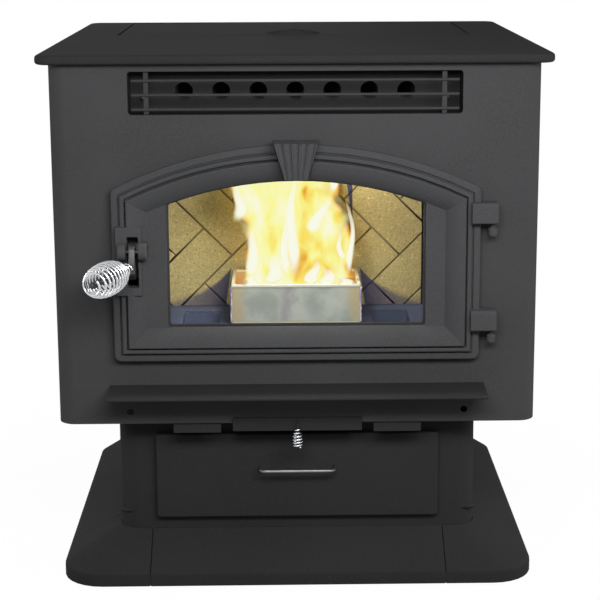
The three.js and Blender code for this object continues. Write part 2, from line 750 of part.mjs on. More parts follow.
function makeCabinet() {
  const top = plateBottom - seat;
  const wrapPlan = roundRect(-halfCabinet, halfCabinet, 0, frontReturn * 2, cabinetCorner, 0);
  const wrap = raiseZ(wrapPlan, cabinetBottom, top);
  const inside = raiseZ(
    roundRect(
      -halfCabinet + faceSheet,
      halfCabinet - faceSheet,
      faceSheet,
      frontReturn * 3,
      cabinetCorner - faceSheet,
      0,
    ),
    cabinetBottom - 5,
    top + 5,
  );
  const behind = block(-plateWidth, plateWidth, frontReturn, frontReturn * 3, 0, overallHeight);
  const half = outletWidth / 2;
  const outlet = raiseY(roundRect(-half, half, outletBottom, outletTop, outletCorner), -5, faceSheet + 5, 2);
  const hookSlot = block(
    latchX - leverHalf - 5,
    latchX + leverHalf + 5,
    -5,
    faceSheet + 5,
    latchSlotBottom - 2,
    latchPivotZ + 6,
  );
  const pokerHoles = [-1, 1].map((side) => rodY(pokerHole, -5, faceSheet + 5, side * pokerHoleX, pokerHoleZ));
  const mouth = raiseY(new THREE.Shape(windowOutline(mouthMargin)), -5, faceSheet + 5);
  piece(
    "front_panel",
    cut(wrap, inside, behind, outlet, mouth, hookSlot, ...pokerHoles),
    paint,
  );

  const rearFace = cabinetDepth - caseSheet - seat;
  const sideShape = (side) =>
    polygon(
      [
        [halfCabinet, frontReturn + seat],
        [halfCabinet, rearFace],
        [halfCabinet - rearFlange, rearFace],
        [halfCabinet - rearFlange, rearFace - caseSheet],
        [halfCabinet - caseSheet, rearFace - caseSheet],
        [halfCabinet - caseSheet, frontReturn + seat],
      ].map(([x, y]) => [side * x, y]),
    );
  piece("side_panel_left", raiseZ(sideShape(-1), cabinetBottom, top), paint);
  piece("side_panel_right", raiseZ(sideShape(1), cabinetBottom, top), paint);

  const rearHalf = halfCabinet - 4;
  const louvres = [];
  for (let i = 0; i < louvreCount; i++) {
    const z = roomZ - ((louvreCount - 1) * louvrePitch) / 2 + i * louvrePitch;
    const shape = roundRect(
      roomX - louvreLength / 2 + 55,
      roomX + louvreLength / 2 + 55,
      z - louvreHeight / 2,
      z + louvreHeight / 2,
      louvreHeight / 2 - 0.1,
    );
    louvres.push(raiseY(shape, cabinetDepth - 10, cabinetDepth + 5, 2));
  }
  const rearTop = top - 4;
  piece(
    "rear_panel",
    cut(
      block(-rearHalf, rearHalf, cabinetDepth - caseSheet, cabinetDepth, cabinetBottom + 4, rearTop),
      rodY(flueBore + 2 * flueWall + 3, cabinetDepth - 10, cabinetDepth + 5, flueX(), flueZ(), 24),
      rodY(airPipeBore + 2 * flueWall + 3, cabinetDepth - 10, cabinetDepth + 5, airPipeX, airPipeZ, 24),
      ...louvres,
    ),
    paint,
  );

  const floorInset = faceSheet + seat;
  const plan = roundRect(
    -halfCabinet + floorInset,
    halfCabinet - floorInset,
    floorInset,
    rearFace - caseSheet - seat,
    cabinetCorner - floorInset,
    0,
  );
  const drops = ashDrops().map((drop) => dropBlock(drop, 0, cabinetBottom - 5, cabinetBottom + 10));
  // Folded guides under the floor carry the three slides.
  const guides = [-sideTabX, 0, sideTabX].flatMap((x) => {
    const bladeHalf = (x ? sideTabWidth : middleTabWidth) / 2 - 3;
    return [-1, 1].flatMap((side) => {
      const near = x + side * (bladeHalf + slideGap);
      const far = near + side * 2;
      const under = near - side * 5;
      const y0 = pedestalFront + pedestalSheet + 3;
      const y1 = fireBack - 12;
      return [
        block(Math.min(near, far), Math.max(near, far), y0, y1, slideBottom - 2.6, cabinetBottom + 1),
        block(Math.min(under, far), Math.max(under, far), y0, y1, slideBottom - 2.6, slideBottom - slideGap),
      ];
    });
  });
  const floorPlate = join(raiseZ(plan, cabinetBottom, cabinetBottom + faceSheet), ...guides);
  piece("cabinet_floor", cut(floorPlate, ...drops), black);

  const plateHalf = plateWidth / 2;
  const round = plateEdgeRound;
  const slab = new THREE.ExtrudeGeometry(
    roundRect(
      -plateHalf + round,
      plateHalf - round,
      -plateFrontOverhang + round,
      cabinetDepth + plateRearOverhang - round,
      plateCorner - round,
    ),
    {
      depth: plateThickness - 2 * round,
      bevelThickness: round,
      bevelSize: round,
      bevelSegments: 3,
      curveSegments: 3,
    },
  ).translate(0, 0, plateBottom + round);
  const lidHole = block(
    -lidWidth / 2 - lidGap,
    lidWidth / 2 + lidGap,
    lidFront - lidGap,
    lidHingeY + lidHingeKnuckle / 2 + 0.8,
    plateBottom - 5,
    overallHeight + 5,
  );
  piece("top_plate", cut(slab, lidHole), paint);
}

// ---- Warm air outlet: the recessed tube plate, its tubes and the rod grille ----
function makeOutlet() {
  const half = outletWidth / 2 + outletSheet;
  const bottom = outletBottom - outletSheet;
  const top = outletTop + outletSheet;
  const front = faceSheet + seat;
  const back = outletDepth + outletSheet;
  const tray = block(-half, half, front, back, bottom, top);
  const hollow = block(
    -half + outletSheet,
    half - outletSheet,
    front - 5,
    outletDepth,
    bottom + outletSheet,
    top - outletSheet,
  );
  const tubeX = Array.from({ length: tubeCount }, (_, i) => (i - (tubeCount - 1) / 2) * tubePitch);
  const holes = tubeX.map((x) => rodY(tubeBore, outletDepth - 5, back + 5, x, tubeHeight, 20));
  piece("tube_plate", cut(tray, hollow, ...holes), paint);
  tubeX.forEach((x, i) => {
    const start = back + seat;
    piece("heat_tube_" + (i + 1), pipeY(tubeBore, tubeWall, start, start + tubeLength, x, tubeHeight), steel);
  });

  const rodMiddle = 4;
  const postFront = rodMiddle + grilleRod / 2 - 0.8;
  const posts = [-1, 1].map((side) =>
    block(
      side * grillePostX - grillePostWidth / 2,
      side * grillePostX + grillePostWidth / 2,
      postFront,
      postFront + 3,
      outletBottom + 1.5,
      outletTop - 1.5,
    ),
  );
  const legs = [-1, 1].map((side) =>
    block(
      side * grillePostX - grillePostWidth / 2,
      side * grillePostX + grillePostWidth / 2,
      postFront,
      outletDepth - seat,
      outletBottom + seat,
      outletBottom + seat + 2.5,
    ),
  );
  const rods = Array.from({ length: grilleRods }, (_, i) =>
    rodX(grilleRod, -grilleRodLength / 2, grilleRodLength / 2, rodMiddle, grilleTopRod - i * grillePitch, 10),
  );
  piece("outlet_grille", join(...posts, ...legs, ...rods), castPaint);
}

// ---- Firebox: a welded box with its flue opening, feed opening and ash drops ----
// A square tube or tool along the feed chute's line, between two distances from the firebox's back wall.
function alongChute(width, from, to) {
  return new THREE.BoxGeometry(width, to - from, width)
    .translate(0, (from + to) / 2, 0)
    .rotateX((feedChuteAngle * Math.PI) / 180)
    .translate(0, fireBack, feedMouthZ);
}

const flueWindow = () => ({
  x0: exhaustX - exhaustWidth,
  x1: exhaustX - 1,
  z0: exhaustZ - exhaustWidth / 2 + 1,
  z1: exhaustZ + exhaustWidth / 2 - 1,
});

function makeFirebox() {
  const half = fireWidth / 2;
  const front = faceSheet + seat;
  const sheet = fireSheet;
  const shell = block(
    -half - sheet,
    half + sheet,
    front,
    fireBack + sheet,
    fireFloor - sheet,
    fireTop + sheet,
  );
  const room = block(-half, half, front - 5, fireBack, fireFloor, fireTop);
  const trayRoom = block(
    -half - pastCut,
    half + pastCut,
    front - 5,
    outletDepth + outletSheet + seat,
    outletBottom - outletSheet - seat,
    fireTop + 20,
  );
  const tubeHoles = Array.from({ length: tubeCount }, (_, i) =>
    rodY(
      tubeBore + 2 * tubeWall + 2 * seat,
      fireBack - 5,
      fireBack + sheet + 5,
      (i - (tubeCount - 1) / 2) * tubePitch,
      tubeHeight,
      20,
    ),
  );
  const flue = flueWindow();
  const flueHole = block(flue.x0, flue.x1, fireBack - 5, fireBack + sheet + 5, flue.z0, flue.z1);
  const feedHole = alongChute(feedChuteWidth + 2 * seat, -pastCut, (2 * pastCut) / 3);
  const drops = ashDrops();
  const dropHoles = drops.map((drop) => dropBlock(drop, 0, cabinetBottom, fireFloor + 5));
  piece("firebox", cut(shell, room, trayRoom, ...tubeHoles, flueHole, feedHole, ...dropHoles), black);

  // Three chutes lead the ash from the firebox's floor to the drawer. Short straps hold them together.
  const chuteFoot = cabinetBottom + faceSheet + seat;
  const chuteTop = fireFloor - sheet - seat;
  const chutes = drops.map((drop) => dropBlock(drop, chuteSheet, chuteFoot, chuteTop));
  const straps = [-1, 1].flatMap((side) =>
    [0.3, 0.7].map((share) => {
      const y = chuteFront + chuteDepth * share + 20;
      const near = side * (ashChuteWidth / 2 + chuteSheet / 2);
      const far = side * (chuteX - chuteWidth / 2 - chuteSheet / 2);
      return block(Math.min(near, far), Math.max(near, far), y, y + chuteSheet, chuteTop - 30, chuteTop);
    }),
  );
  piece("ash_chutes", cut(join(...chutes, ...straps), ...dropHoles), black);

  // The moulded brick back: a herringbone of two-by-one bricks laid at 45 degrees.
  const brickBack = fireBack - seat;
  const brickFront = brickBack - brickThickness;
  const brickBottom = fireFloor + seat;
  const slab = block(
    -brickWidth / 2,
    brickWidth / 2,
    brickFront,
    brickBack,
    brickBottom,
    brickBottom + brickHeight,
  );
  const middleZ = brickBottom + patternRise;
  const grooves = [];
  // A straight groove of the pattern from lattice point (u, v), a whole number of brick widths long.
  const groove = (u, v, alongU, cells) => {
    const length = cells * brickSize;
    const box = new THREE.BoxGeometry(
      alongU ? length : grooveWidth,
      2 * grooveDepth,
      alongU ? grooveWidth : length,
    );
    const centreU = (u + (alongU ? cells / 2 : 0)) * brickSize;
    const centreV = (v + (alongU ? 0 : cells / 2)) * brickSize;
    box.translate(centreU, 0, centreV).rotateY(Math.PI / 4).translate(patternX, brickFront, middleZ);
    box.computeBoundingBox();
    const { min, max } = box.boundingBox;
    const outside =
      max.x < -brickWidth / 2 ||
      min.x > brickWidth / 2 ||
      max.z < brickBottom ||
      min.z > brickBottom + brickHeight;
    if (!outside) grooves.push(box);
  };
  const reach = Math.ceil((brickWidth + brickHeight) / brickSize);
  for (let u = -reach; u <= reach; u++) {
    for (let v = -reach; v <= reach; v++) {
      const phase = (((u - v) % 4) + 4) % 4;
      if (phase === 1) groove(u, v, true, 3);
      if (phase === 2) groove(u, v, false, 3);
    }
  }
  const feedWay = alongChute(feedChuteWidth + 2, -pastCut, (2 * pastCut) / 3);
  piece("brick_panel", cut(slab, ...grooves, feedWay), brick);

  // The burn pot: a straight box with a slotted floor and a thin band round its mouth.
  const potBottom = fireFloor + seat;
  const potTop = potBottom + potHeight;
  const potBlock = (inset, z0, z1) =>
    block(
      -potWidth / 2 + inset,
      potWidth / 2 - inset,
      potFront + inset,
      potFront + potDepth - inset,
      z0,
      z1,
    );
  const pot = join(
    potBlock(potRimProud, potBottom, potTop),
    potBlock(0, potTop - potRimHeight, potTop),
  );
  const bowl = potBlock(potRimProud + potWall, potBottom + potWall, potTop + 5);
  const slotPitch = (potWidth - 2 * potWall - 24) / ashSlots;
  const slots = Array.from({ length: ashSlots }, (_, i) => {
    const x = (i - (ashSlots - 1) / 2) * slotPitch;
    return block(
      x - slotPitch * 0.3,
      x + slotPitch * 0.3,
      potFront + potWall + 14,
      potFront + potDepth - potWall - 14,
      potBottom - 5,
      potBottom + potWall + 5,
    );
  });
  piece("burn_pot", cut(pot, bowl, ...slots), steel);
}

// ---- Door: one casting with its moulding, window, hinge ears and latch lugs ----
function makeDoor() {
  const door = new THREE.Group();
  stove.add(door);

  // The moulding's section: how far in from the door's edge, and how far forward.
  const rim = mouldingFront;
  const moulding = [
    [0, doorBack],
    [0, -12],
    [0.8, -13.6],
    [2.2, -14.2],
    [9.6, -14.8],
    [10, -12.2],
    [12, -12.2],
    [12.3, -17],
    [13.2, rim + 5.6],
    [15, rim + 4.6],
    [17.2, rim + 4.6],
    [18.8, rim + 5.6],
    [19.4, -17],
    [19.8, -15],
    [21.4, -15],
    [21.7, rim + 1],
    [22.6, rim],
    [24.5, rim],
    [31, rim + 1.6],
    [38, rim + 4.6],
    [44, rim + 8.2],
    [mouldingWidth, panelFace],
    [mouldingWidth + 1.5, panelFace],
    [mouldingWidth + 1.5, doorBack],
  ];
  const ring = skin(
    moulding.map(([inset, y]) => doorOutline(inset).map((point) => new THREE.Vector3(point.x, y, point.y))),
    true,
  );
  // The flat plate between the moulding and the window.
  const plate = raiseY(new THREE.Shape(doorOutline(mouldingWidth - 6)), panelFace, doorBack);
  const window = raiseY(new THREE.Shape(windowOutline(0)), -40, 5);

  const earLow = hingeX - 30;
  const ears = hingeEarTops.map((top) => {
    const chamfer = 4;
    const y0 = hingeY - hingeEarDepth / 2;
    const y1 = hingeY + hingeEarDepth / 2;
    const shape = polygon([
      [y0 + 1.5, top - hingeEarHeight],
      [y0, top - hingeEarHeight + 1.5],
      [y0, top - chamfer],
      [y0 + chamfer, top],
      [y1, top],
      [y1, top - hingeEarHeight],
    ]);
    return raiseX(shape, earLow, hingeX + 6.2);
  });
  const bores = hingeEarTops.map((top) =>
    rodZ(hingePinDiameter + 0.8, top - hingeEarHeight - 5, top - 6, hingeX, hingeY, 16),
  );

  const pad = block(
    latchX - latchPadHalfWidth - 6,
    latchX + latchPadHalfWidth - 5,
    rim,
    doorBack - 1,
    latchPivotZ - latchPadBelow,
    latchPivotZ + latchPadAbove,
  );
  const slotHalf = latchSlotWidth / 2;
  const lugs = [-1, 1].map((side) => {
    const near = latchX + side * (slotHalf + 1);
    const far = near + side * latchLugWidth;
    const x0 = Math.min(near, far);
    const x1 = Math.max(near, far);
    const cheek = block(
      x0,
      x1,
      latchPivotY,
      panelFace + 1,
      latchPivotZ - latchLugRadius,
      latchPivotZ + latchLugRadius,
    );
    return join(rodX(2 * latchLugRadius, x0, x1, latchPivotY, latchPivotZ, 16), cheek);
  });
  const slot = raiseY(
    roundRect(latchX - slotHalf, latchX + slotHalf, latchSlotBottom, latchSlotTop, 2),
    -pastCut,
    5,
    1,
  );
  const pinHole = rodX(
    latchPinDiameter + 2 * seat,
    latchX - slotHalf - latchLugWidth - 5,
    latchX + slotHalf + latchLugWidth + 5,
    latchPivotY,
    latchPivotZ,
    12,
  );

  // The keystone: a tapered block with five flutes that narrow with it, let into the moulding.
  const keyTop = { z: doorCrown + 4, half: 30 };
  const keyFoot = { z: windowCrown + 4, half: 15.5 };
  const keyFront = mouldingFront - 16;
  const keyBack = panelFace + 1;
  const draft = 2.5;
  const keyBlock = (grow) => {
    const section = (y, spread) =>
      [
        [-keyFoot.half - spread, keyFoot.z - spread / 2],
        [keyFoot.half + spread, keyFoot.z - spread / 2],
        [keyTop.half + spread, keyTop.z + spread],
        [-keyTop.half - spread, keyTop.z + spread],
      ].map(([x, z]) => new THREE.Vector3(x, y, z));
    return skin([
      section(keyFront - grow, grow),
      section(keyFront + 12 - grow, draft * 0.5 + grow),
      section(keyBack + grow, draft + grow),
    ]);
  };
  const fluteCount = 5;
  const flutes = Array.from({ length: fluteCount }, (_, i) => {
    const share = (i - (fluteCount - 1) / 2) / fluteCount;
    const wide = (2 * keyTop.half) / fluteCount;
    const narrow = (2 * keyFoot.half) / fluteCount;
    const high = new THREE.Vector3(2 * share * keyTop.half, keyFront, keyTop.z + 8);
    const low = new THREE.Vector3(2 * share * keyFoot.half, keyFront, keyFoot.z - 6);
    const length = high.distanceTo(low);
    return new THREE.CylinderGeometry(wide * 0.43, narrow * 0.43, length, 10)
      .applyQuaternion(
        new THREE.Quaternion().setFromUnitVectors(
          new THREE.Vector3(0, 1, 0),
          high.clone().sub(low).normalize(),
        ),
      )
      .translate((high.x + low.x) / 2, keyFront - 0.8, (high.z + low.z) / 2);
  });

  const casting = cut(
    join(ring, plate, ...ears, pad, ...lugs),
    window,
    slot,
    pinHole,
    ...bores,
    keyBlock(seat),
  );
  piece("door_frame", casting, castPaint, door);
  piece("keystone", cut(keyBlock(0), ...flutes), castPaint, door);

  const glassBack = glassFront + glassThickness;
  const pane = (margin) => new THREE.Shape(windowOutline(margin));
  piece("door_glass", raiseY(pane(glassLap), glassFront, glassBack), glass, door);

  // The retainer holds the glass from behind, inside the firebox's mouth.
  const frame = (outer, inner, y0, y1) =>
    cut(raiseY(pane(outer), y0, y1), raiseY(pane(inner), y0 - 5, y1 + 5));
  piece(
    "glass_retainer",
    frame(glassLap - 1, glassLap - 1 - retainerWidth, glassBack + seat, glassBack + seat + 2.5),
    steel,
    door,
  );

  // The rope seal sits behind the casting, outside the glass, and meets the front panel.
  const gasketFront = glassFront;
  const gasketBack = -seat;
  const gasketShape = (margin) => new THREE.Shape(windowOutline(mouthMargin + margin));
  piece(
    "door_gasket",
    cut(
      raiseY(gasketShape(1 + gasketWidth), gasketFront, gasketBack),
      raiseY(gasketShape(1), gasketFront - 5, gasketBack + 5),
    ),
    rope,
    door,
  );

  // Hinge brackets on the cabinet: an arm, a boss and the pin that stands up into the door's ear.
  ["upper", "lower"].forEach((where, i) => {
    const earBottom = hingeEarTops[i] - hingeEarHeight;
    const bossTop = earBottom - hingeNeck;
    const bossBottom = bossTop - hingeBossHeight;
    const r = hingeBossDiameter / 2;
    const pinRadius = hingePinDiameter / 2;
    const profile = [
      [0, bossBottom],
      [r - 2.5, bossBottom],
      [r - 0.6, bossBottom + 2],
      [r, bossBottom + 4],
      [r, bossTop - 1.5],
      [r - 1.5, bossTop],
      [pinRadius, bossTop],
      [pinRadius, hingeEarTops[i] - 6 - seat],
      [0, hingeEarTops[i] - 6 - seat],
    ].map(([radius, z]) => new THREE.Vector2(radius, z));
    const turned = new THREE.LatheGeometry(profile, 16).rotateX(Math.PI / 2).translate(hingeX, hingeY, 0);
    const arm = block(hingeX - 4, hingeX + 4, hingeY, -seat, bossBottom + 2.5, bossTop - 2.5);
    piece("hinge_bracket_" + where, join(turned, arm), castPaint);
  });

  makeLatch(door);
}

// ---- Latch: a lever that turns on a pin in the door's lugs, with a sprung-wire grip and a hooked tail ----
function makeLatch(door) {
  const slotHalf = latchSlotWidth / 2;
  const pinEnd = slotHalf + latchLugWidth;
  piece(
    "latch_pin",
    rodX(latchPinDiameter, latchX - pinEnd - 1, latchX + pinEnd, latchPivotY, latchPivotZ, 12),
    steel,
    door,
  );

  const lever = new THREE.Group();
  door.add(lever);
  const behindCatch = faceSheet + seat + catchThickness + 3 * seat;
  const noseFront = latchPivotY - leverHub - leverNose;
  const tailTip = catchBottom - leverTailPoint;
  const outline = new THREE.Shape();
  outline.moveTo(latchPivotY + leverHub, latchPivotZ);
  outline.absarc(latchPivotY, latchPivotZ, leverHub, 0, Math.PI);
  outline.lineTo(noseFront, latchPivotZ - leverNoseTop);
  outline.lineTo(noseFront, latchPivotZ - leverNoseFoot);
  outline.lineTo(latchPivotY - leverChinBack, latchPivotZ - leverChin);
  outline.lineTo(behindCatch + leverTail / 2, latchPivotZ - leverHeel);
  outline.lineTo(behindCatch + leverTail, latchPivotZ - leverTailFoot);
  outline.lineTo(behindCatch + leverTail, latchPivotZ - leverTailTop);
  outline.lineTo(behindCatch + leverTail / 2, tailTip);
  outline.lineTo(behindCatch, tailTip);
  outline.lineTo(behindCatch, latchPivotZ - leverBackFoot);
  outline.lineTo(latchPivotY + leverBackReach, latchPivotZ - leverBackTop);
  outline.closePath();
  const plate = cut(
    raiseX(outline, latchX - leverHalf, latchX + leverHalf, 5),
    rodX(latchPinDiameter + 0.8, latchX - 10, latchX + 10, latchPivotY, latchPivotZ, 12),
  );

  // The rod of the grip leaves the lever's nose and leans towards the side of the stove.
  const lean = (handleLean * Math.PI) / 180;
  const drop = (handleDrop * Math.PI) / 180;
  const along = new THREE.Vector3(
    -Math.sin(lean) * Math.cos(drop),
    -Math.cos(lean) * Math.cos(drop),
    -Math.sin(drop),
  );
  const root = new THREE.Vector3(latchX - 0.5, latchPivotY - leverHub + 3, latchPivotZ - leverGripAt);
  const turn = new THREE.Quaternion().setFromUnitVectors(new THREE.Vector3(0, 0, 1), along);
  const rodProfile = [
    [0, 0],
    [handleRod / 2, 0],
    [handleRod / 2, handleLength - 2],
    [handleRod / 2 - 1.5, handleLength],
    [0, handleLength],
  ].map(([radius, z]) => new THREE.Vector2(radius, z));
  const grip = new THREE.LatheGeometry(rodProfile, 12)
    .rotateX(Math.PI / 2)
    .applyQuaternion(turn)
    .translate(root.x, root.y, root.z);
  piece("latch_lever", join(plate, grip), steel, lever);

  const line = springLine({
    length: handleCoilLength,
    turns: handleCoilTurns,
    thickness: handleCoilWire,
    wide: handleCoilWide,
    neck: handleCoilNeck,
    tail: handleCoilNeck,
  });
  console.log("handle coil, least gap to itself: " + leastGap(line, handleCoilWire).toFixed(2) + " mm");
  const coil = wire(line, handleCoilWire, 5)
    .translate(0, 0, handleCoilStart + handleCoilWire)
    .applyQuaternion(turn)
    .translate(root.x, root.y, root.z);
  piece("handle_coil", coil, chrome, lever);

  // The catch: a plate behind the front panel whose lower edge the lever's tail hooks behind.
  const catchFront = faceSheet + seat;
  const catchHalf = latchSlotWidth / 2 + 11;
  piece(
    "latch_catch",
    block(
      latchX - catchHalf,
      latchX + catchHalf - 3,
      catchFront,
      catchFront + catchThickness,
      catchBottom,
      catchBottom + 34,
    ),
    steel,
  );
}

// ---- Ash lip under the door: a shelf with a rolled nose and an apron against the panel ----
function makeLip() {
  const back = -seat;
  const nose = -lipDepth;
  const top = lipTop;
  const shape = new THREE.Shape();
  shape.moveTo(back, top);
  shape.lineTo(nose + 2, top - lipFall);
  const round = lipThickness / 2;
  shape.absarc(nose + round, top - lipFall - round, round, Math.PI / 2, 1.5 * Math.PI);
  shape.lineTo(back - 4, top - lipThickness);
  shape.lineTo(back - 4, top - lipApron);
  shape.lineTo(back, top - lipApron);
  shape.closePath();
  piece("ash_lip", raiseX(shape, -lipWidth / 2, lipWidth / 2, 3), castPaint);
}

// ---- Cleanout slides under the cabinet's floor ----
function makeSlides() {
  const tabBack = -2 * seat;
  const tabFront = tabBack - tabThickness;
  for (const [name, side] of [
    ["fly_ash_slide_left", -1],
    ["fly_ash_slide_right", 1],
  ]) {
    const x0 = side * sideTabX - sideTabWidth / 2;
    const x1 = side * sideTabX + sideTabWidth / 2;
    const blade = block(x0 + 3, x1 - 3, tabFront + 1, tabFront + slideLength, slideBottom, slideTop);
    const tab = block(x0, x1, tabFront, tabBack, slideTop - sideTabDrop, slideTop);
    piece(name, join(blade, tab), paint);
  }

  const dump = new THREE.Group();
  stove.add(dump);
  const half = middleTabWidth / 2;
  const blade = block(-half + 3, half - 3, tabFront + 1, tabFront + slideLength, slideBottom, slideTop);
  const tab = block(-half, half, tabFront, tabBack, middleTabBottom, middleTabTop);
  // The knob's stem comes out of the tab and turns down.
  const stemY = tabFront - knobStandOff;
  const stemTop = cabinetBottom + 1;
  const stemFoot = slideBottom - knobLength - 2;
  const stem = wire(
    [
      new THREE.Vector3(0, tabFront + 1, stemTop),
      new THREE.Vector3(0, tabFront - 3, stemTop),
      new THREE.Vector3(0, stemY + 1.5, stemTop - 1.2),
      new THREE.Vector3(0, stemY, stemTop - 4.5),
      new THREE.Vector3(0, stemY, stemFoot),
    ],
    knobStem,
    8,
  );
  piece("ash_dump_slide", join(blade, tab, stem), paint, dump);

  const line = springLine({
    length: knobLength,
    turns: knobTurns,
    thickness: knobWire,
    wide: knobWide,
    neck: knobNeck,
    tail: knobNeck,
  });
  console.log("spring knob, least gap to itself: " + leastGap(line, knobWire).toFixed(2) + " mm");
  piece(
    "spring_knob",
    wire(line, knobWire, 5).rotateX(Math.PI).translate(0, stemY, stemTop - 6),
    chrome,
    dump,
  );
}

// ---- Ash drawer: a pan with a rounded front and a wire pull ----
function makeDrawer() {
  const drawer = new THREE.Group();
  stove.add(drawer);
  const half = drawerWidth / 2;
  const sheet = drawerSheet;
  const back = drawerFace + drawerFrontThickness - 1;
  const pan = cut(
    block(-half, half, back, back + drawerDepth, drawerBottom, drawerBottom + drawerHeight),
    block(
      -half + sheet,
      half - sheet,
      back + sheet,
      back + drawerDepth - sheet,
      drawerBottom + sheet,
      drawerBottom + drawerHeight + 5,
    ),
  );
  const round = drawerEdgeRound;
  const frontHalf = drawerFrontWidth / 2;
  const face = new THREE.ExtrudeGeometry(
    roundRect(
      -frontHalf + round,
      frontHalf - round,
      drawerFrontBottom + round,
      drawerFrontBottom + drawerFrontHeight - round,
      2,
    ),
    {
      depth: drawerFrontThickness - round,
      bevelThickness: round,
      bevelSize: round,
      bevelSegments: 2,
      curveSegments: 2,
    },
  )
    .rotateX(Math.PI / 2)
    .translate(0, drawerFace + drawerFrontThickness, 0);
  const behindFace = block(
    -drawerFrontWidth,
    drawerFrontWidth,
    drawerFace + drawerFrontThickness,
    pedestalFront + pastCut,
    0,
    drawerFrontBottom + 2 * drawerFrontHeight,
  );
  const trimmed = cut(face, behindFace);
  piece("ash_drawer", join(trimmed, pan), paint, drawer);

  const x = pullWidth / 2 - pullWire / 2;
  const y0 = drawerFace - seat;
  const y1 = y0 - pullReach + pullWire / 2;
  const path = new THREE.CurvePath();
  const at = (px, py) => new THREE.Vector3(px, py, pullHeight);
  path.add(new THREE.LineCurve3(at(-x, y0), at(-x, y1 + pullBend)));
  path.add(new THREE.QuadraticBezierCurve3(at(-x, y1 + pullBend), at(-x, y1), at(-x + pullBend, y1)));
  path.add(new THREE.LineCurve3(at(-x + pullBend, y1), at(x - pullBend, y1)));
  path.add(new THREE.QuadraticBezierCurve3(at(x - pullBend, y1), at(x, y1), at(x, y1 + pullBend)));
  path.add(new THREE.LineCurve3(at(x, y1 + pullBend), at(x, y0)));
  const points = [];
  path.curves.forEach((curve) => {
    const steps = curve.isLineCurve3 ? 1 : 4;
    curve.getPoints(steps).forEach((point, i) => (i || !points.length) && points.push(point));
  });
  piece("drawer_pull", wire(points, pullWire, 8), steel, drawer);
}

// ---- Hopper, lid and feed ----
const augerTurn = (augerAngle * Math.PI) / 180;
// Puts a shape made along +Y from the origin onto the auger's line, which climbs towards the front.
const onAuger = (geometry) =>
  geometry
    .rotateX(augerTurn)
    .rotateZ(Math.PI)
    .translate(0, augerFootY, augerFootZ);

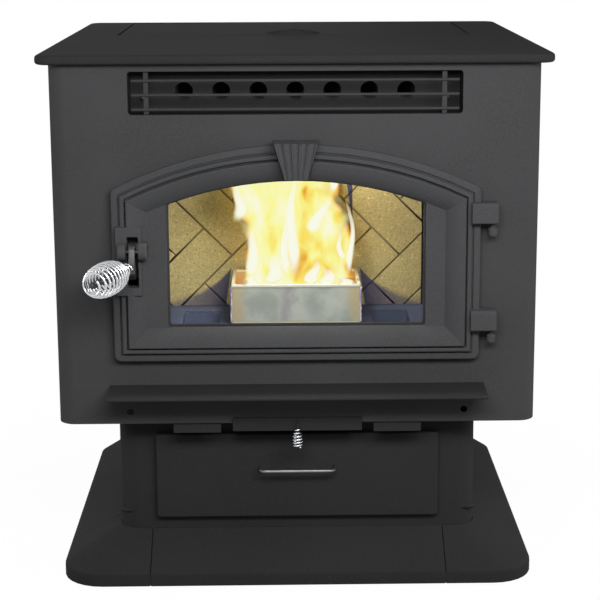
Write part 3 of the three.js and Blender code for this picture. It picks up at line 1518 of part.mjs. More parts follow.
function makeHopper() {
  const neckHalf = augerTubeBore / 2 - 4;
  const up = augerTubeBore / 2 + augerTubeWall + 9 + seat;
  // The hopper's foot lies along the auger's inlet neck.
  const footAt = (distance, lift) => ({
    y: augerFootY - distance * Math.cos(augerTurn) + lift * Math.sin(augerTurn),
    z: augerFootZ + distance * Math.sin(augerTurn) + lift * Math.cos(augerTurn),
  });
  const footEnds = (grow) => ({
    rear: footAt(augerInletAt - augerInletLength / 2 - grow, up),
    front: footAt(augerInletAt + augerInletLength / 2 + grow, up),
  });
  const footRing = (grow) => {
    const { rear, front } = footEnds(grow);
    return ring(neckHalf + grow, front.y, rear.y, front.z, rear.z);
  };
  // Above the foot a short upright neck takes the slopes.
  const neckRing = (grow) => {
    const { rear, front } = footEnds(grow);
    const z = footEnds(0).front.z + hopperNeckRise;
    return ring(neckHalf + grow, front.y, rear.y, z, z);
  };
  const ring = (half, front, back, zFront, zBack) => [
    new THREE.Vector3(-half, front, zFront),
    new THREE.Vector3(half, front, zFront),
    new THREE.Vector3(half, back, zBack),
    new THREE.Vector3(-half, back, zBack),
  ];
  const half = hopperWidth / 2;
  const back = hopperBack;
  const top = plateBottom - seat;
  const s = hopperSheet;
  const hopper = skin(
    [
      ring(half - s, hopperFront + s, back - s, top, top),
      ring(half + hopperFlange, hopperFront - hopperFlange, back + 7, top, top),
      ring(half + hopperFlange, hopperFront - hopperFlange, back + 7, top - s, top - s),
      ring(half, hopperFront, back, top - s, top - s),
      ring(half, hopperFront, back, hopperShoulder, hopperShoulder),
      neckRing(s),
      footRing(s),
      footRing(0),
      neckRing(0),
      ring(half - s, hopperFront + s, back - s, hopperShoulder, hopperShoulder),
    ],
    true,
  );
  piece("hopper", hopper, galvanised);

  // The auger's tube, with its square inlet neck on top and its outlet underneath.
  const outer = augerTubeBore / 2 + augerTubeWall;
  const tube = new THREE.CylinderGeometry(outer, outer, augerLength, 20).translate(0, augerLength / 2, 0);
  const bore = new THREE.CylinderGeometry(augerTubeBore / 2, augerTubeBore / 2, augerLength, 20).translate(
    0,
    augerLength / 2 - augerTubeWall,
    0,
  );
  const inletMiddle = augerInletAt;
  const neck = block(
    -neckHalf - 2,
    neckHalf + 2,
    inletMiddle - augerInletLength / 2 - 2,
    inletMiddle + augerInletLength / 2 + 2,
    0,
    up - seat,
  );
  const neckRoom = block(
    -neckHalf,
    neckHalf,
    inletMiddle - augerInletLength / 2,
    inletMiddle + augerInletLength / 2,
    0,
    up + 5,
  );
  const outlet = block(
    -neckHalf,
    neckHalf,
    augerLength - augerTubeWall - augerOutletLength,
    augerLength - augerTubeWall - 2,
    -outer - 5,
    0,
  );
  const tubeBody = cut(join(tube, neck), bore, neckRoom, outlet);
  piece("auger_tube", onAuger(tubeBody), galvanised);

  const feed = new THREE.Group();
  stove.add(feed);
  // The auger: a helical flight on a round shaft.
  const flightStart = 4;
  const flightLength = augerLength - 16;
  const steps = Math.round((flightLength / augerPitch) * 12);
  const sections = [];
  for (let i = 0; i <= steps; i++) {
    const along = flightStart + (flightLength * i) / steps;
    const angle = (2 * Math.PI * (along - flightStart)) / augerPitch;
    const at = (radius, shift) =>
      new THREE.Vector3(radius * Math.cos(angle), along + shift, radius * Math.sin(angle));
    sections.push([
      at(augerShaft / 2 - 1.5, -augerFlight / 2),
      at(augerDiameter / 2, -augerFlight / 2),
      at(augerDiameter / 2, augerFlight / 2),
      at(augerShaft / 2 - 1.5, augerFlight / 2),
    ]);
  }
  const shaftLength = augerLength - 8;
  const shaft = new THREE.CylinderGeometry(augerShaft / 2, augerShaft / 2, shaftLength, 16).translate(
    0,
    shaftLength / 2 + 0.5,
    0,
  );
  piece("auger", onAuger(join(shaft, skin(sections))), steel, feed);

  // The gear motor behind the auger's foot.
  const gearbox = block(-motorWidth / 2, motorWidth / 2, -seat - 30, -seat, -motorWidth / 2, motorWidth / 2);
  const canLength = motorLength - 28;
  const can = new THREE.CylinderGeometry(24, 24, canLength, 16).translate(0, -30 - canLength / 2, 0);
  piece("auger_motor", onAuger(join(gearbox, can)), black);

  // The feed chute, from under the auger's outlet through the firebox's back wall.
  const reach = feedChuteLength - 30;
  const body = alongChute(feedChuteWidth, -26, reach);
  const hollow = alongChute(feedChuteWidth - 4, -40, reach + 20);
  const wide = feedChuteWidth;
  const underTube = onAuger(block(-wide, wide, -wide, augerLength + wide, -outer - 2, outer + wide));
  const reveal = fireBack - seat - brickThickness - feedChuteReveal;
  const pastBrick = block(-wide, wide, 0, reveal, fireFloor, fireTop);
  piece("feed_chute", cut(body, hollow, underTube, pastBrick), galvanised);
}

function makeLid() {
  const lid = new THREE.Group();
  stove.add(lid);
  const half = lidWidth / 2;
  const back = lidHingeY - lidHingeKnuckle / 2 - 0.9;
  const bottom = overallHeight - lidThickness;
  const round = 1.5;
  const panel = new THREE.ExtrudeGeometry(
    roundRect(-half + round, half - round, lidFront + round, back - round, 1),
    {
      depth: lidThickness - round,
      bevelThickness: round,
      bevelSize: round,
      bevelSegments: 2,
      curveSegments: 1,
    },
  ).translate(0, 0, bottom);
  const trimmed = cut(panel, block(-half - 5, half + 5, lidFront - 5, back + 5, bottom - 20, bottom));
  // The hinge is a row of knuckles in the seam behind the lid, turn and turn about.
  const hingeZ = overallHeight - lidHingeKnuckle / 2 - 0.5;
  const pitch = lidHingeLength / lidHingeKnuckles;
  const knuckle = (i, gap) =>
    rodX(
      lidHingeKnuckle,
      -lidHingeLength / 2 + i * pitch + gap,
      -lidHingeLength / 2 + (i + 1) * pitch - gap,
      lidHingeY,
      hingeZ,
      12,
    );
  const pinWay = rodX(
    lidHingePin + 0.8,
    -lidHingeLength / 2 - 5,
    lidHingeLength / 2 + 5,
    lidHingeY,
    hingeZ,
    10,
  );
  const moving = [];
  const fixed = [];
  for (let i = 0; i < lidHingeKnuckles; i++) {
    const x0 = -lidHingeLength / 2 + i * pitch + 0.5;
    const x1 = -lidHingeLength / 2 + (i + 1) * pitch - 0.5;
    if (i % 2) {
      moving.push(knuckle(i, 0.5));
      moving.push(block(x0, x1, back - 2, lidHingeY - 1, hingeZ - 3.4, hingeZ - 1.4));
    } else {
      fixed.push(knuckle(i, 0.5));
      fixed.push(block(x0, x1, lidHingeY - 2, lidHingeY + 2.2, plateBottom - 2.3, hingeZ - 2));
    }
  }
  // A low arched pull near the lid's front edge.
  const foot = overallHeight - 1;
  const reach = lidPullLength / 2;
  const arch = new THREE.Shape();
  arch.moveTo(-reach, foot);
  arch.quadraticCurveTo(0, foot + 2 * lidPullRise, reach, foot);
  arch.lineTo(reach - 7, foot);
  arch.quadraticCurveTo(0, foot + 2 * lidPullRise - 6, -reach + 7, foot);
  arch.closePath();
  const pullY = lidFront + lidPullFromEdge;
  const pull = raiseY(arch, pullY - lidPullDepth / 2, pullY + lidPullDepth / 2, 8);
  piece("hopper_lid", cut(join(trimmed, pull, ...moving), pinWay), paint, lid);
  const leafTop = plateBottom - seat;
  const leaf = block(
    -lidHingeLength / 2,
    lidHingeLength / 2,
    lidHingeY - 2.6,
    lidHingeY + plateRearOverhang - 4,
    leafTop - 2,
    leafTop,
  );
  const pin = rodX(lidHingePin, -lidHingeLength / 2 + 1, lidHingeLength / 2 - 1, lidHingeY, hingeZ, 10);
  const bored = cut(join(...fixed, leaf), pinWay);
  const endPlugs = [0, lidHingeKnuckles - 1].map((i) =>
    rodX(
      lidHingePin + 2,
      -lidHingeLength / 2 + i * pitch + 2,
      -lidHingeLength / 2 + (i + 1) * pitch - 2,
      lidHingeY,
      hingeZ,
      10,
    ),
  );
  piece("lid_hinge", join(bored, pin, ...endPlugs), paint);
}

// ---- Blowers, duct, flue and inlets ----
// A volute in Y and Z round a wheel: it grows by `growth` over one turn and leaves in a straight throat.
function volute(radius, growth, throat, throatHeight, turned) {
  const points = [];
  const steps = 20;
  for (let i = 0; i <= steps; i++) {
    const t = i / steps;
    const angle = t * 1.5 * Math.PI;
    const r = radius + growth * t;
    points.push([r * Math.cos(angle), r * Math.sin(angle)]);
  }
  const far = radius + growth;
  points.push([throat, -far]);
  points.push([throat, -far + throatHeight]);
  points.push([radius * 0.98, -far + throatHeight]);
  return points.map(([y, z]) => turned(y, z));
}

const flueX = () => exhaustX + exhaustWidth / 2;
const flueZ = () => exhaustZ - scrollRadius - scrollGrowth + exhaustThroatHeight / 2;

function makeExhaust() {
  const far = scrollRadius + scrollGrowth;
  const throat = exhaustThroat;
  const s = scrollSheet;
  const place = (y, z) => [exhaustY + y, exhaustZ + z];
  const shape = (grow) =>
    polygon(
      volute(scrollRadius + grow, scrollGrowth, throat + grow * 4, exhaustThroatHeight + 2 * grow, place),
    );
  const x0 = exhaustX;
  const x1 = exhaustX + exhaustWidth;
  const inletDuct = flueWindow();
  const duct = block(
    inletDuct.x0 - s,
    inletDuct.x1 + s,
    fireBack + fireSheet + seat,
    exhaustY + 30,
    inletDuct.z0 - s,
    inletDuct.z1 + s,
  );
  const ductRoom = block(inletDuct.x0, inletDuct.x1, fireBack, exhaustY + 28, inletDuct.z0, inletDuct.z1);
  const eye = rodX(exhaustEye, inletDuct.x1 - 10, x0 + s + 3, exhaustY, exhaustZ, 16);
  const body = join(raiseX(shape(s), x0, x1), duct);
  const room = raiseX(shape(0), x0 + s, x1 - s);
  const throatEnd = exhaustY + throat;
  const mouthTop = exhaustZ - far + exhaustThroatHeight;
  const mouth = block(x0 + s, x1 - s, throatEnd - 2, throatEnd + 20, exhaustZ - far, mouthTop);
  const motorHole = rodX(18, x1 - s - 3, x1 + 5, exhaustY, exhaustZ, 12);
  piece("exhaust_blower", cut(body, room, ductRoom, eye, mouth, motorHole), galvanised);

  // Radial blades on a disc, on the motor's shaft.
  const wheel = new THREE.Group();
  stove.add(wheel);
  const discX = x0 + s + 6;
  const disc = rodX(exhaustWheel, discX, discX + 2.5, exhaustY, exhaustZ, 24);
  const shaft = rodX(10, discX, x1 + 12, exhaustY, exhaustZ, 12);
  const blades = Array.from({ length: exhaustBlades }, (_, i) =>
    new THREE.BoxGeometry(30, 3, exhaustWheel / 2 - 8)
      .translate(discX + 16.5, 0, exhaustWheel / 4)
      .rotateX((2 * Math.PI * i) / exhaustBlades)
      .translate(0, exhaustY, exhaustZ),
  );
  piece("exhaust_impeller", join(disc, shaft, ...blades), steel, wheel);

  const collarFront = throatEnd + s * 4 + seat;
  const flange = rodY(flueBore + 30, collarFront, collarFront + 3, flueX(), flueZ(), 20);
  const collar = cut(
    join(flange, rodY(flueBore + 2 * flueWall, collarFront, flueEnd, flueX(), flueZ(), 24)),
    rodY(flueBore, collarFront - 5, flueEnd + 5, flueX(), flueZ(), 24),
  );
  piece("flue_collar", collar, galvanised);

  piece(
    "air_inlet_pipe",
    pipeY(airPipeBore, flueWall, fireBack + fireSheet + 14, airPipeEnd, airPipeX, airPipeZ),
    galvanised,
  );
}

function makeRoomBlower() {
  const s = scrollSheet;
  const x0 = roomX - roomWidth / 2;
  const x1 = roomX + roomWidth / 2;
  const radius = roomWheel / 2 + 8;
  // The volute lies on its back, so its throat points up, behind the firebox.
  const place = (y, z) => [roomY + z, roomZ + y];
  const throat = roomThroat;
  const shape = (grow) =>
    polygon(volute(radius + grow, scrollGrowth, throat + grow * 4, roomThroatHeight + 2 * grow, place));
  const far = radius + scrollGrowth;
  const body = raiseX(shape(s), x0, x1);
  const room = raiseX(shape(0), x0 + s, x1 - s);
  const mouth = block(
    x0 + s,
    x1 - s,
    roomY - far,
    roomY - far + roomThroatHeight,
    roomZ + throat - 2,
    roomZ + throat + 30,
  );
  const eye = rodX(roomWheel * 0.72, x1 - s - 5, x1 + 5, roomY, roomZ, 20);
  piece("room_blower", cut(body, room, mouth, eye), galvanised);

  // A squirrel-cage wheel: forward-curved blades between a disc and a ring.
  const wheel = new THREE.Group();
  stove.add(wheel);
  const wheelX0 = x0 + s + 5;
  const wheelX1 = x1 - s - 6;
  const outer = roomWheel / 2;
  const inner = outer - 13;
  const disc = rodX(roomWheel, wheelX0, wheelX0 + 2, roomY, roomZ, 24);
  const hub = rodX(20, wheelX0 - 3, wheelX0 + 26, roomY, roomZ, 12);
  const rimRing = cut(
    rodX(roomWheel, wheelX1 - 4, wheelX1, roomY, roomZ, 24),
    rodX(2 * inner + 4, wheelX1 - 10, wheelX1 + 5, roomY, roomZ, 24),
  );
  const bladeShape = new THREE.Shape();
  bladeShape.moveTo(inner, 0);
  bladeShape.quadraticCurveTo(outer - 5, 1, outer - 1, 5);
  bladeShape.lineTo(outer - 2, 6.2);
  bladeShape.quadraticCurveTo(outer - 6, 2.6, inner, 1.6);
  bladeShape.closePath();
  const blades = Array.from({ length: roomBlades }, (_, i) =>
    raiseX(bladeShape, wheelX0 + 1, wheelX1 - 1, 2)
      .rotateX((2 * Math.PI * i) / roomBlades)
      .translate(0, roomY, roomZ),
  );
  piece("room_blower_wheel", join(disc, hub, rimRing, ...blades), galvanised, wheel);

  // The duct climbs behind the firebox, narrows under the hopper and crosses the ends of the heat tubes.
  const tubesEnd = outletDepth + outletSheet + seat + tubeLength;
  const y0 = tubesEnd + seat;
  const top = fireTop;
  const low = tubeHeight - 30;
  const right = ((tubeCount - 1) / 2) * tubePitch + 24;
  const foot = roomZ + throat + s * 4 + seat;
  const riser = (inset) =>
    raiseX(
      polygon([
        [y0 + inset, foot - (inset ? 5 : 0)],
        [y0 + ductFootDepth - inset, foot - (inset ? 5 : 0)],
        [y0 + ductFootDepth - inset, ductShoulder[0]],
        [y0 + ductDepth - inset, ductShoulder[1]],
        [y0 + ductDepth - inset, top - inset],
        [y0 + inset, top - inset],
      ]),
      x0 + inset,
      x1 - inset,
    );
  const crossing = (inset) =>
    block(x0 + inset, right - inset, y0 + inset, y0 + ductDepth - inset, low + inset, top - inset);
  const shell = join(riser(0), crossing(0));
  const inside = join(riser(s), crossing(s));
  const tubeHoles = Array.from({ length: tubeCount }, (_, i) =>
    rodY(tubeBore, y0 - 5, y0 + s + 3, (i - (tubeCount - 1) / 2) * tubePitch, tubeHeight, 12),
  );
  piece("air_duct", cut(shell, inside, ...tubeHoles), galvanised);
}

// ---- Controls and the mains inlet ----
function makeControls() {
  const shape = roundRect(panelFront, panelFront + panelWidth, panelBottom, panelBottom + panelHeight, 6);
  const plate = raiseX(shape, halfCabinet + seat, halfCabinet + seat + panelThickness, 3);
  const screen = block(
    halfCabinet + seat + panelThickness - 1,
    halfCabinet + seat + panelThickness + 5,
    panelFront + 14,
    panelFront + panelWidth - 14,
    panelBottom + panelHeight - 40,
    panelBottom + panelHeight - 16,
  );
  piece("control_panel", cut(plate, screen), plastic);

  const inletX = -halfCabinet + 60;
  const inletZ = cabinetBottom + 30;
  const back = cabinetDepth + seat;
  const body = raiseY(roundRect(inletX - 24, inletX + 24, inletZ - 12, inletZ + 12, 2), back, back + 5, 2);
  const socket = raiseY(
    polygon([
      [inletX - 12, inletZ - 8],
      [inletX + 12, inletZ - 8],
      [inletX + 12, inletZ + 3],
      [inletX + 7, inletZ + 8],
      [inletX - 7, inletZ + 8],
      [inletX - 12, inletZ + 3],
    ]),
    back + 1.5,
    back + 10,
  );
  piece("power_inlet", cut(body, socket), plastic);
}

makePedestal();
makeBase();
makeCabinet();
makeOutlet();
makeFirebox();
makeDoor();
makeLip();
makeSlides();
makeDrawer();
makeHopper();
makeLid();
makeExhaust();
makeRoomBlower();
makeControls();

export default stove;
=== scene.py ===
"""Dresses the pellet stove: paint and metal finishes, rounded edges, springs, fire, pellets and fasteners."""

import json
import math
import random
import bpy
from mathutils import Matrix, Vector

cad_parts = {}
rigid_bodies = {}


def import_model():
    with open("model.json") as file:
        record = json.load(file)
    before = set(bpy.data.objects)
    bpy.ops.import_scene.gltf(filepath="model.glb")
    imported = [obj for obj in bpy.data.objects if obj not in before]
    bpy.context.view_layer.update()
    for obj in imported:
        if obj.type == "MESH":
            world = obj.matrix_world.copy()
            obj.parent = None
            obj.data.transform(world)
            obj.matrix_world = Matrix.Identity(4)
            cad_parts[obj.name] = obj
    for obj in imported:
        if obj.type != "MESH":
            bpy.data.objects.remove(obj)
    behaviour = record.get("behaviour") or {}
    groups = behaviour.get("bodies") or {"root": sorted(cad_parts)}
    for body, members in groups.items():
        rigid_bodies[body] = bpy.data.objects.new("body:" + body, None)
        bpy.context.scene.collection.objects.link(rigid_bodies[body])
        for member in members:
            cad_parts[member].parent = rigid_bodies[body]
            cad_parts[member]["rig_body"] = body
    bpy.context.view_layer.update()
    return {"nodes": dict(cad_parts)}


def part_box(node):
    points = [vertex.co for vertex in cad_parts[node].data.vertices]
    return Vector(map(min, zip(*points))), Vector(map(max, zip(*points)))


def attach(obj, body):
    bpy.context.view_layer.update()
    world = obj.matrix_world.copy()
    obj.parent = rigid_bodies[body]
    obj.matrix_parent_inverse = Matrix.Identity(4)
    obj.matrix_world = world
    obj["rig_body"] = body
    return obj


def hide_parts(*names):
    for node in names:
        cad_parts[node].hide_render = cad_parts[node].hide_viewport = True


bl_info = {
    "name": "Pellet Stove",
    "version": (1, 0, 0),
    "blender": (4, 5, 0),
    "location": "3D View > Sidebar > Stove",
    "description": "Builds the visible pieces and finishes of a pellet stove round its fixed frame",
    "category": "Object",
}

from functools import cached_property

import bmesh
import bpy
import numpy as np
from bpy.props import FloatProperty, FloatVectorProperty, IntProperty, PointerProperty
from mathutils import Euler, Matrix, Vector
from mathutils.kdtree import KDTree

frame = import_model()
NODES = frame["nodes"]
MM = 0.001
FACE_Y = -0.2815  # the cabinet's front face, from the middle of the base
SAME_POINT = 2e-6  # points closer than this are one
WHITE = (1.0, 1.0, 1.0, 1.0)


# ---------------------------------------------------------------- shader maths
class Socket:
    """A shader socket that can be used in sums with numbers and other sockets."""

    def __init__(self, finish, socket):
        self.finish = finish
        self.socket = socket

    def __add__(self, other):
        return self.finish.maths("ADD", self, other)

    def __sub__(self, other):
        return self.finish.maths("SUBTRACT", self, other)

    def __rsub__(self, other):
        return self.finish.maths("SUBTRACT", other, self)

    def __mul__(self, other):
        return self.finish.maths("MULTIPLY", self, other)

    def __truediv__(self, other):
        return self.finish.maths("DIVIDE", self, other)

    def __pow__(self, other):
        return self.finish.maths("POWER", self, other)

    def __abs__(self):
        return self.finish.maths("ABSOLUTE", self)

    # The order makes no difference to these two.
    __radd__ = __add__
    __rmul__ = __mul__

    def most(self, other):
        return self.finish.maths("MAXIMUM", self, other)

    def wave(self):
        return self.finish.maths("SINE", self)

    def span(self, low, high):
        """0 below low, 1 above high, smooth in between."""
        return self.finish.node(
            "ShaderNodeMapRange",
            {"interpolation_type": "SMOOTHSTEP", "clamp": True},
            {"Value": self, "From Min": low, "From Max": high},
        )


class Finish:
    """The nodes of one material, or of the world, added by short calls."""

    def __init__(self, name, owner=None):
        self.owner = owner or bpy.data.materials.new(name)
        self.owner.use_nodes = True
        self.tree = self.owner.node_tree
        self.tree.nodes.clear()

    @cached_property
    def place(self):
        return self.node("ShaderNodeTexCoord", output="Object")

    def node(self, kind, settings=None, sockets=None, output=0):
        """Adds a node: its settings come first, then the values or links of its sockets."""
        made = self.tree.nodes.new(kind)
        for name, value in (settings or {}).items():
            if name == "stops":
                set_stops(made.color_ramp, value)
            else:
                setattr(made, name, value)
        for name, value in (sockets or {}).items():
            if isinstance(value, Socket):
                self.tree.links.new(value.socket, made.inputs[name])
            else:
                made.inputs[name].default_value = value
        return Socket(self, made.outputs[output]) if made.outputs else None

    def maths(self, operation, *values):
        return self.node("ShaderNodeMath", {"operation": operation}, dict(enumerate(values)))

    def noise(self, scale, detail=2.0, roughness=0.5, place=None, stretch=None):
        place = place or self.place
        if stretch:
            place = self.node("ShaderNodeMapping", None, {"Vector": place, "Scale": stretch})
        sockets = {"Vector": place, "Scale": scale, "Detail": detail, "Roughness": roughness}
        return self.node("ShaderNodeTexNoise", None, sockets)

    def cells(self, scale, output="Distance"):
        return self.node("ShaderNodeTexVoronoi", None, {"Vector": self.place, "Scale": scale}, output)

    def axis(self, letter):
        return self.node("ShaderNodeSeparateXYZ", None, {"Vector": self.place}, letter)

    def own(self, name):
        """A number stored on the piece's own points."""
        return self.node("ShaderNodeAttribute", {"attribute_name": name}, None, "Fac")

    def mix(self, factor, low, high):
        """Two colours mixed. The sockets go by number, because each type of value has an A and a B."""
        return self.node("ShaderNodeMix", {"data_type": "RGBA"}, {0: factor, 6: rgba(low), 7: rgba(high)}, 2)

    def bump(self, height, strength, distance):
        return self.node("ShaderNodeBump", None, {"Height": height, "Strength": strength, "Distance": distance})

    def seen(self):
        """1 for what the camera sees straight on, in a reflection or through glass, 0 for other light."""
        rays = self.node("ShaderNodeLightPath", output="Is Camera Ray")
        for name in ("Is Glossy Ray", "Is Transmission Ray"):
            rays = rays.most(self.node("ShaderNodeLightPath", output=name))
        return rays

    def end(self, shader, kind="ShaderNodeOutputMaterial"):
        self.node(kind, None, {"Surface": shader})
        return self.owner

    def surface(self, **sockets):
        """Ends the material in a Principled shader with these sockets."""
        named = {}
        for name, value in sockets.items():
            named[name.replace("_", " ")] = rgba(value) if "Color" in name else value
        return self.end(self.node("ShaderNodeBsdfPrincipled", None, named))


def set_stops(ramp, stops):
    while len(ramp.elements) > 1:
        ramp.elements.remove(ramp.elements[-1])
    ramp.elements[0].position, ramp.elements[0].color = stops[0]
    for position, color in stops[1:]:
        ramp.elements.new(position).color = color


def rgba(color):
    """A colour with its fourth number, or the socket it was."""
    return color if isinstance(color, Socket) or len(color) == 4 else (*color, 1.0)


def shade(color, amount):
    return tuple(min(1.0, c * amount) for c in color[:3])


# ---------------------------------------------------------------- what a user can change
COLOR = {"subtype": "COLOR", "min": 0.0, "max": 1.0}
LENGTH = {"subtype": "DISTANCE", "unit": "LENGTH"}


class StoveFinishes(bpy.types.PropertyGroup):
    """Colours of the stove, and how brightly its fire glows"""

    cabinet_paint: FloatVectorProperty(
        name="Cabinet paint",
        description="Colour of the matte stove paint on sheet steel",
        default=(0.066, 0.0665, 0.0685),
        **COLOR,
    )
    cast_paint: FloatVectorProperty(
        name="Casting paint",
        description="Colour of the matte stove paint on cast pieces",
        default=(0.058, 0.0585, 0.0605),
        **COLOR,
    )
    wire: FloatVectorProperty(
        name="Bright wire",
        description="Colour of the plated spring wire of the handle and the small knob",
        default=(0.72, 0.73, 0.75),
        **COLOR,
    )
    brick: FloatVectorProperty(
        name="Brick",
        description="Colour of the moulded brick panel behind the fire",
        default=(0.62, 0.5, 0.215),
        **COLOR,
    )
    lining: FloatVectorProperty(
        name="Firebox lining",
        description="Colour of the heat-blued steel inside the firebox",
        default=(0.105, 0.125, 0.2),
        **COLOR,
    )
    pellet: FloatVectorProperty(
        name="Wood pellets",
        description="Colour of the pressed wood pellets",
        default=(0.42, 0.24, 0.1),
        **COLOR,
    )
    flame_strength: FloatProperty(
        name="Flame brightness",
        description="How brightly the flames glow",
        default=1.0,
        min=0.0,
        max=20.0,
    )


class StoveSizes(bpy.types.PropertyGroup):
    """Sizes of what the frame doesn't hold: rounded edges, screws and pellets"""

    edge_round: FloatProperty(
        name="Edge rounding",
        description="Width of the rounded edge on painted and cast pieces",
        default=0.0008,
        min=0.0,
        **LENGTH,
    )
    sheet_round: FloatProperty(
        name="Sheet edge rounding",
        description="Width of the rounded edge on folded sheet",
        default=0.0005,
        min=0.0,
        **LENGTH,
    )
    screw_head: FloatProperty(
        name="Screw head",
        description="Diameter of the sheet-metal screws' heads",
        default=0.0075,
        min=0.001,
        **LENGTH,
    )
    pellet_width: FloatProperty(
        name="Pellet diameter",
        description="Diameter of one wood pellet",
        default=0.006,
        min=0.001,
        **LENGTH,
    )
    pellet_length: FloatProperty(
        name="Pellet length",
        description="Length of one wood pellet",
        default=0.016,
        min=0.002,
        **LENGTH,
    )
    pellet_level: FloatProperty(
        name="Pellet level",
        description="Height of the pellets' surface in the hopper above the floor",
        default=0.655,
        min=0.6,
        max=0.7,
        **LENGTH,
    )
    seed: IntProperty(
        name="Seed",
        description="Seed for the scatter of the pellets",
        default=7,
        min=0,
    )


class StoveStage(bpy.types.PropertyGroup):
    """Floor and light"""

    floor_color: FloatVectorProperty(
        name="Floor",
        description="Colour of the floor and the backdrop",
        default=(0.3, 0.3, 0.3),
        **COLOR,
    )
    key_power: FloatProperty(
        name="Key light",
        description="Power of the large soft lamp in front",
        default=13.5,
        min=0.0,
        unit="POWER",
    )
    fill_power: FloatProperty(
        name="Fill light",
        description="Power of the large soft lamp on the right",
        default=4.0,
        min=0.0,
        unit="POWER",
    )
    side_power: FloatProperty(
        name="Side light",
        description="Power of each soft lamp at the sides and behind the stove",
        default=24.0,
        min=0.0,
        unit="POWER",
    )
    sky: FloatProperty(
        name="Sky",
        description="Strength of the even light from all sides",
        default=0.2,
        min=0.0,
        max=1.0,
    )
    fire_power: FloatProperty(
        name="Fire light",
        description="Power of the small lamp inside the firebox, for the light that the fire throws",
        default=2.8,
        min=0.0,
        unit="POWER",
    )


# ---------------------------------------------------------------- finishes
finishes_made = {}


def finish(name):
    """The material of that name, made once."""
    if name not in finishes_made:
        finishes_made[name] = FINISHES[name](name)
    return finishes_made[name]


def colors():
    return bpy.context.scene.stove_finishes


def stove_paint(name, color, grain, depth):
    """Matte high-temperature paint: a fine dry grain, as deep as depth, with faint clouds."""
    s = Finish(name)
    clouds = s.noise(5.0, 3.0)
    grit = s.noise(grain, 2.0, 0.6)
    fine = s.noise(grain * 3.1, 1.0)
    speck = s.noise(grain * 1.7, 1.0).span(0.62, 0.74)
    tone = s.mix(clouds.span(0.35, 0.68), shade(color, 0.93), shade(color, 1.08))
    tone = s.mix(grit.span(0.25, 0.75) * 0.6, tone, shade(color, 1.3))
    tone = s.mix(speck * 0.5, tone, shade(color, 1.7))
    return s.surface(
        Base_Color=tone,
        Roughness=0.68 + grit * 0.16 + clouds * 0.06,
        Metallic=0.0,
        Specular_IOR_Level=0.005,
        Normal=s.bump(grit * 0.65 + fine * 0.35, 0.35, depth),
    )


def sheet_paint(name):
    return stove_paint(name, colors().cabinet_paint, 620.0, 0.00022)


def casting_paint(name, light=1.0):
    """The coarser paint on castings. light paints light or shade into it: paler or darker than the user's
    colour.
    """
    return stove_paint(name, shade(colors().cast_paint, light), 460.0, 0.0004)


def bright_wire(name):
    """Plated spring wire: bright and drawn lengthways, with faint smudges."""
    s = Finish(name)
    drawn = s.noise(260.0, 2.0, stretch=(1.0, 1.0, 6.0))
    smudge = s.noise(60.0, 2.0)
    color = colors().wire
    return s.surface(
        Base_Color=s.mix(smudge.span(0.3, 0.75), shade(color, 0.86), color[:]),
        Metallic=1.0,
        Roughness=0.07 + drawn * 0.1,
        Normal=s.bump(drawn, 0.1, 0.00006),
    )


def bare_steel(name):
    """Rolled steel without paint, clouded by handling."""
    s = Finish(name)
    mill = s.noise(240.0, 3.0, stretch=(0.15, 1.0, 1.0))
    cloud = s.noise(14.0, 3.0)
    tone = s.mix(cloud.span(0.3, 0.7), (0.2, 0.2, 0.2), (0.31, 0.3, 0.29))
    return s.surface(
        Base_Color=tone,
        Metallic=0.9,
        Roughness=0.3 + mill * 0.16 + cloud * 0.1,
        Normal=s.bump(mill, 0.12, 0.0001),
    )


def dark_steel(name):
    """Black-oxide steel, as on the latch lever and the screws."""
    s = Finish(name)
    cloud = s.noise(30.0, 3.0)
    fine = s.noise(900.0, 2.0)
    return s.surface(
        Base_Color=s.mix(cloud.span(0.3, 0.7), (0.045, 0.045, 0.047), (0.075, 0.075, 0.077)),
        Metallic=0.6,
        Roughness=0.34 + cloud * 0.16,
        Normal=s.bump(fine, 0.15, 0.0001),
    )


def zinc_sheet(name):
    """Zinc-coated sheet with its frost-like spangle."""
    s = Finish(name)
    spangle = s.cells(90.0, output="Color")
    grey = s.node("ShaderNodeRGBToBW", None, {"Color": spangle})
    cloud = s.noise(9.0, 2.0)
    tone = s.mix(grey.span(0.1, 0.9), (0.36, 0.38, 0.39), (0.5, 0.52, 0.53))
    tone = s.mix(cloud.span(0.45, 0.8) * 0.5, tone, (0.3, 0.31, 0.31))
    return s.surface(
        Base_Color=tone,
        Metallic=0.85,
        Roughness=0.34 + grey * 0.14,
        Normal=s.bump(grey, 0.05, 0.0001),
    )


def black_paint(name):
    """Plain black enamel on what sits inside or behind."""
    s = Finish(name)
    grit = s.noise(650.0, 2.0)
    cloud = s.noise(8.0, 3.0)
    return s.surface(
        Base_Color=s.mix(cloud.span(0.3, 0.7), (0.016, 0.016, 0.017), (0.027, 0.027, 0.028)),
        Roughness=0.5 + grit * 0.2,
        Normal=s.bump(grit, 0.2, 0.00012),
    )


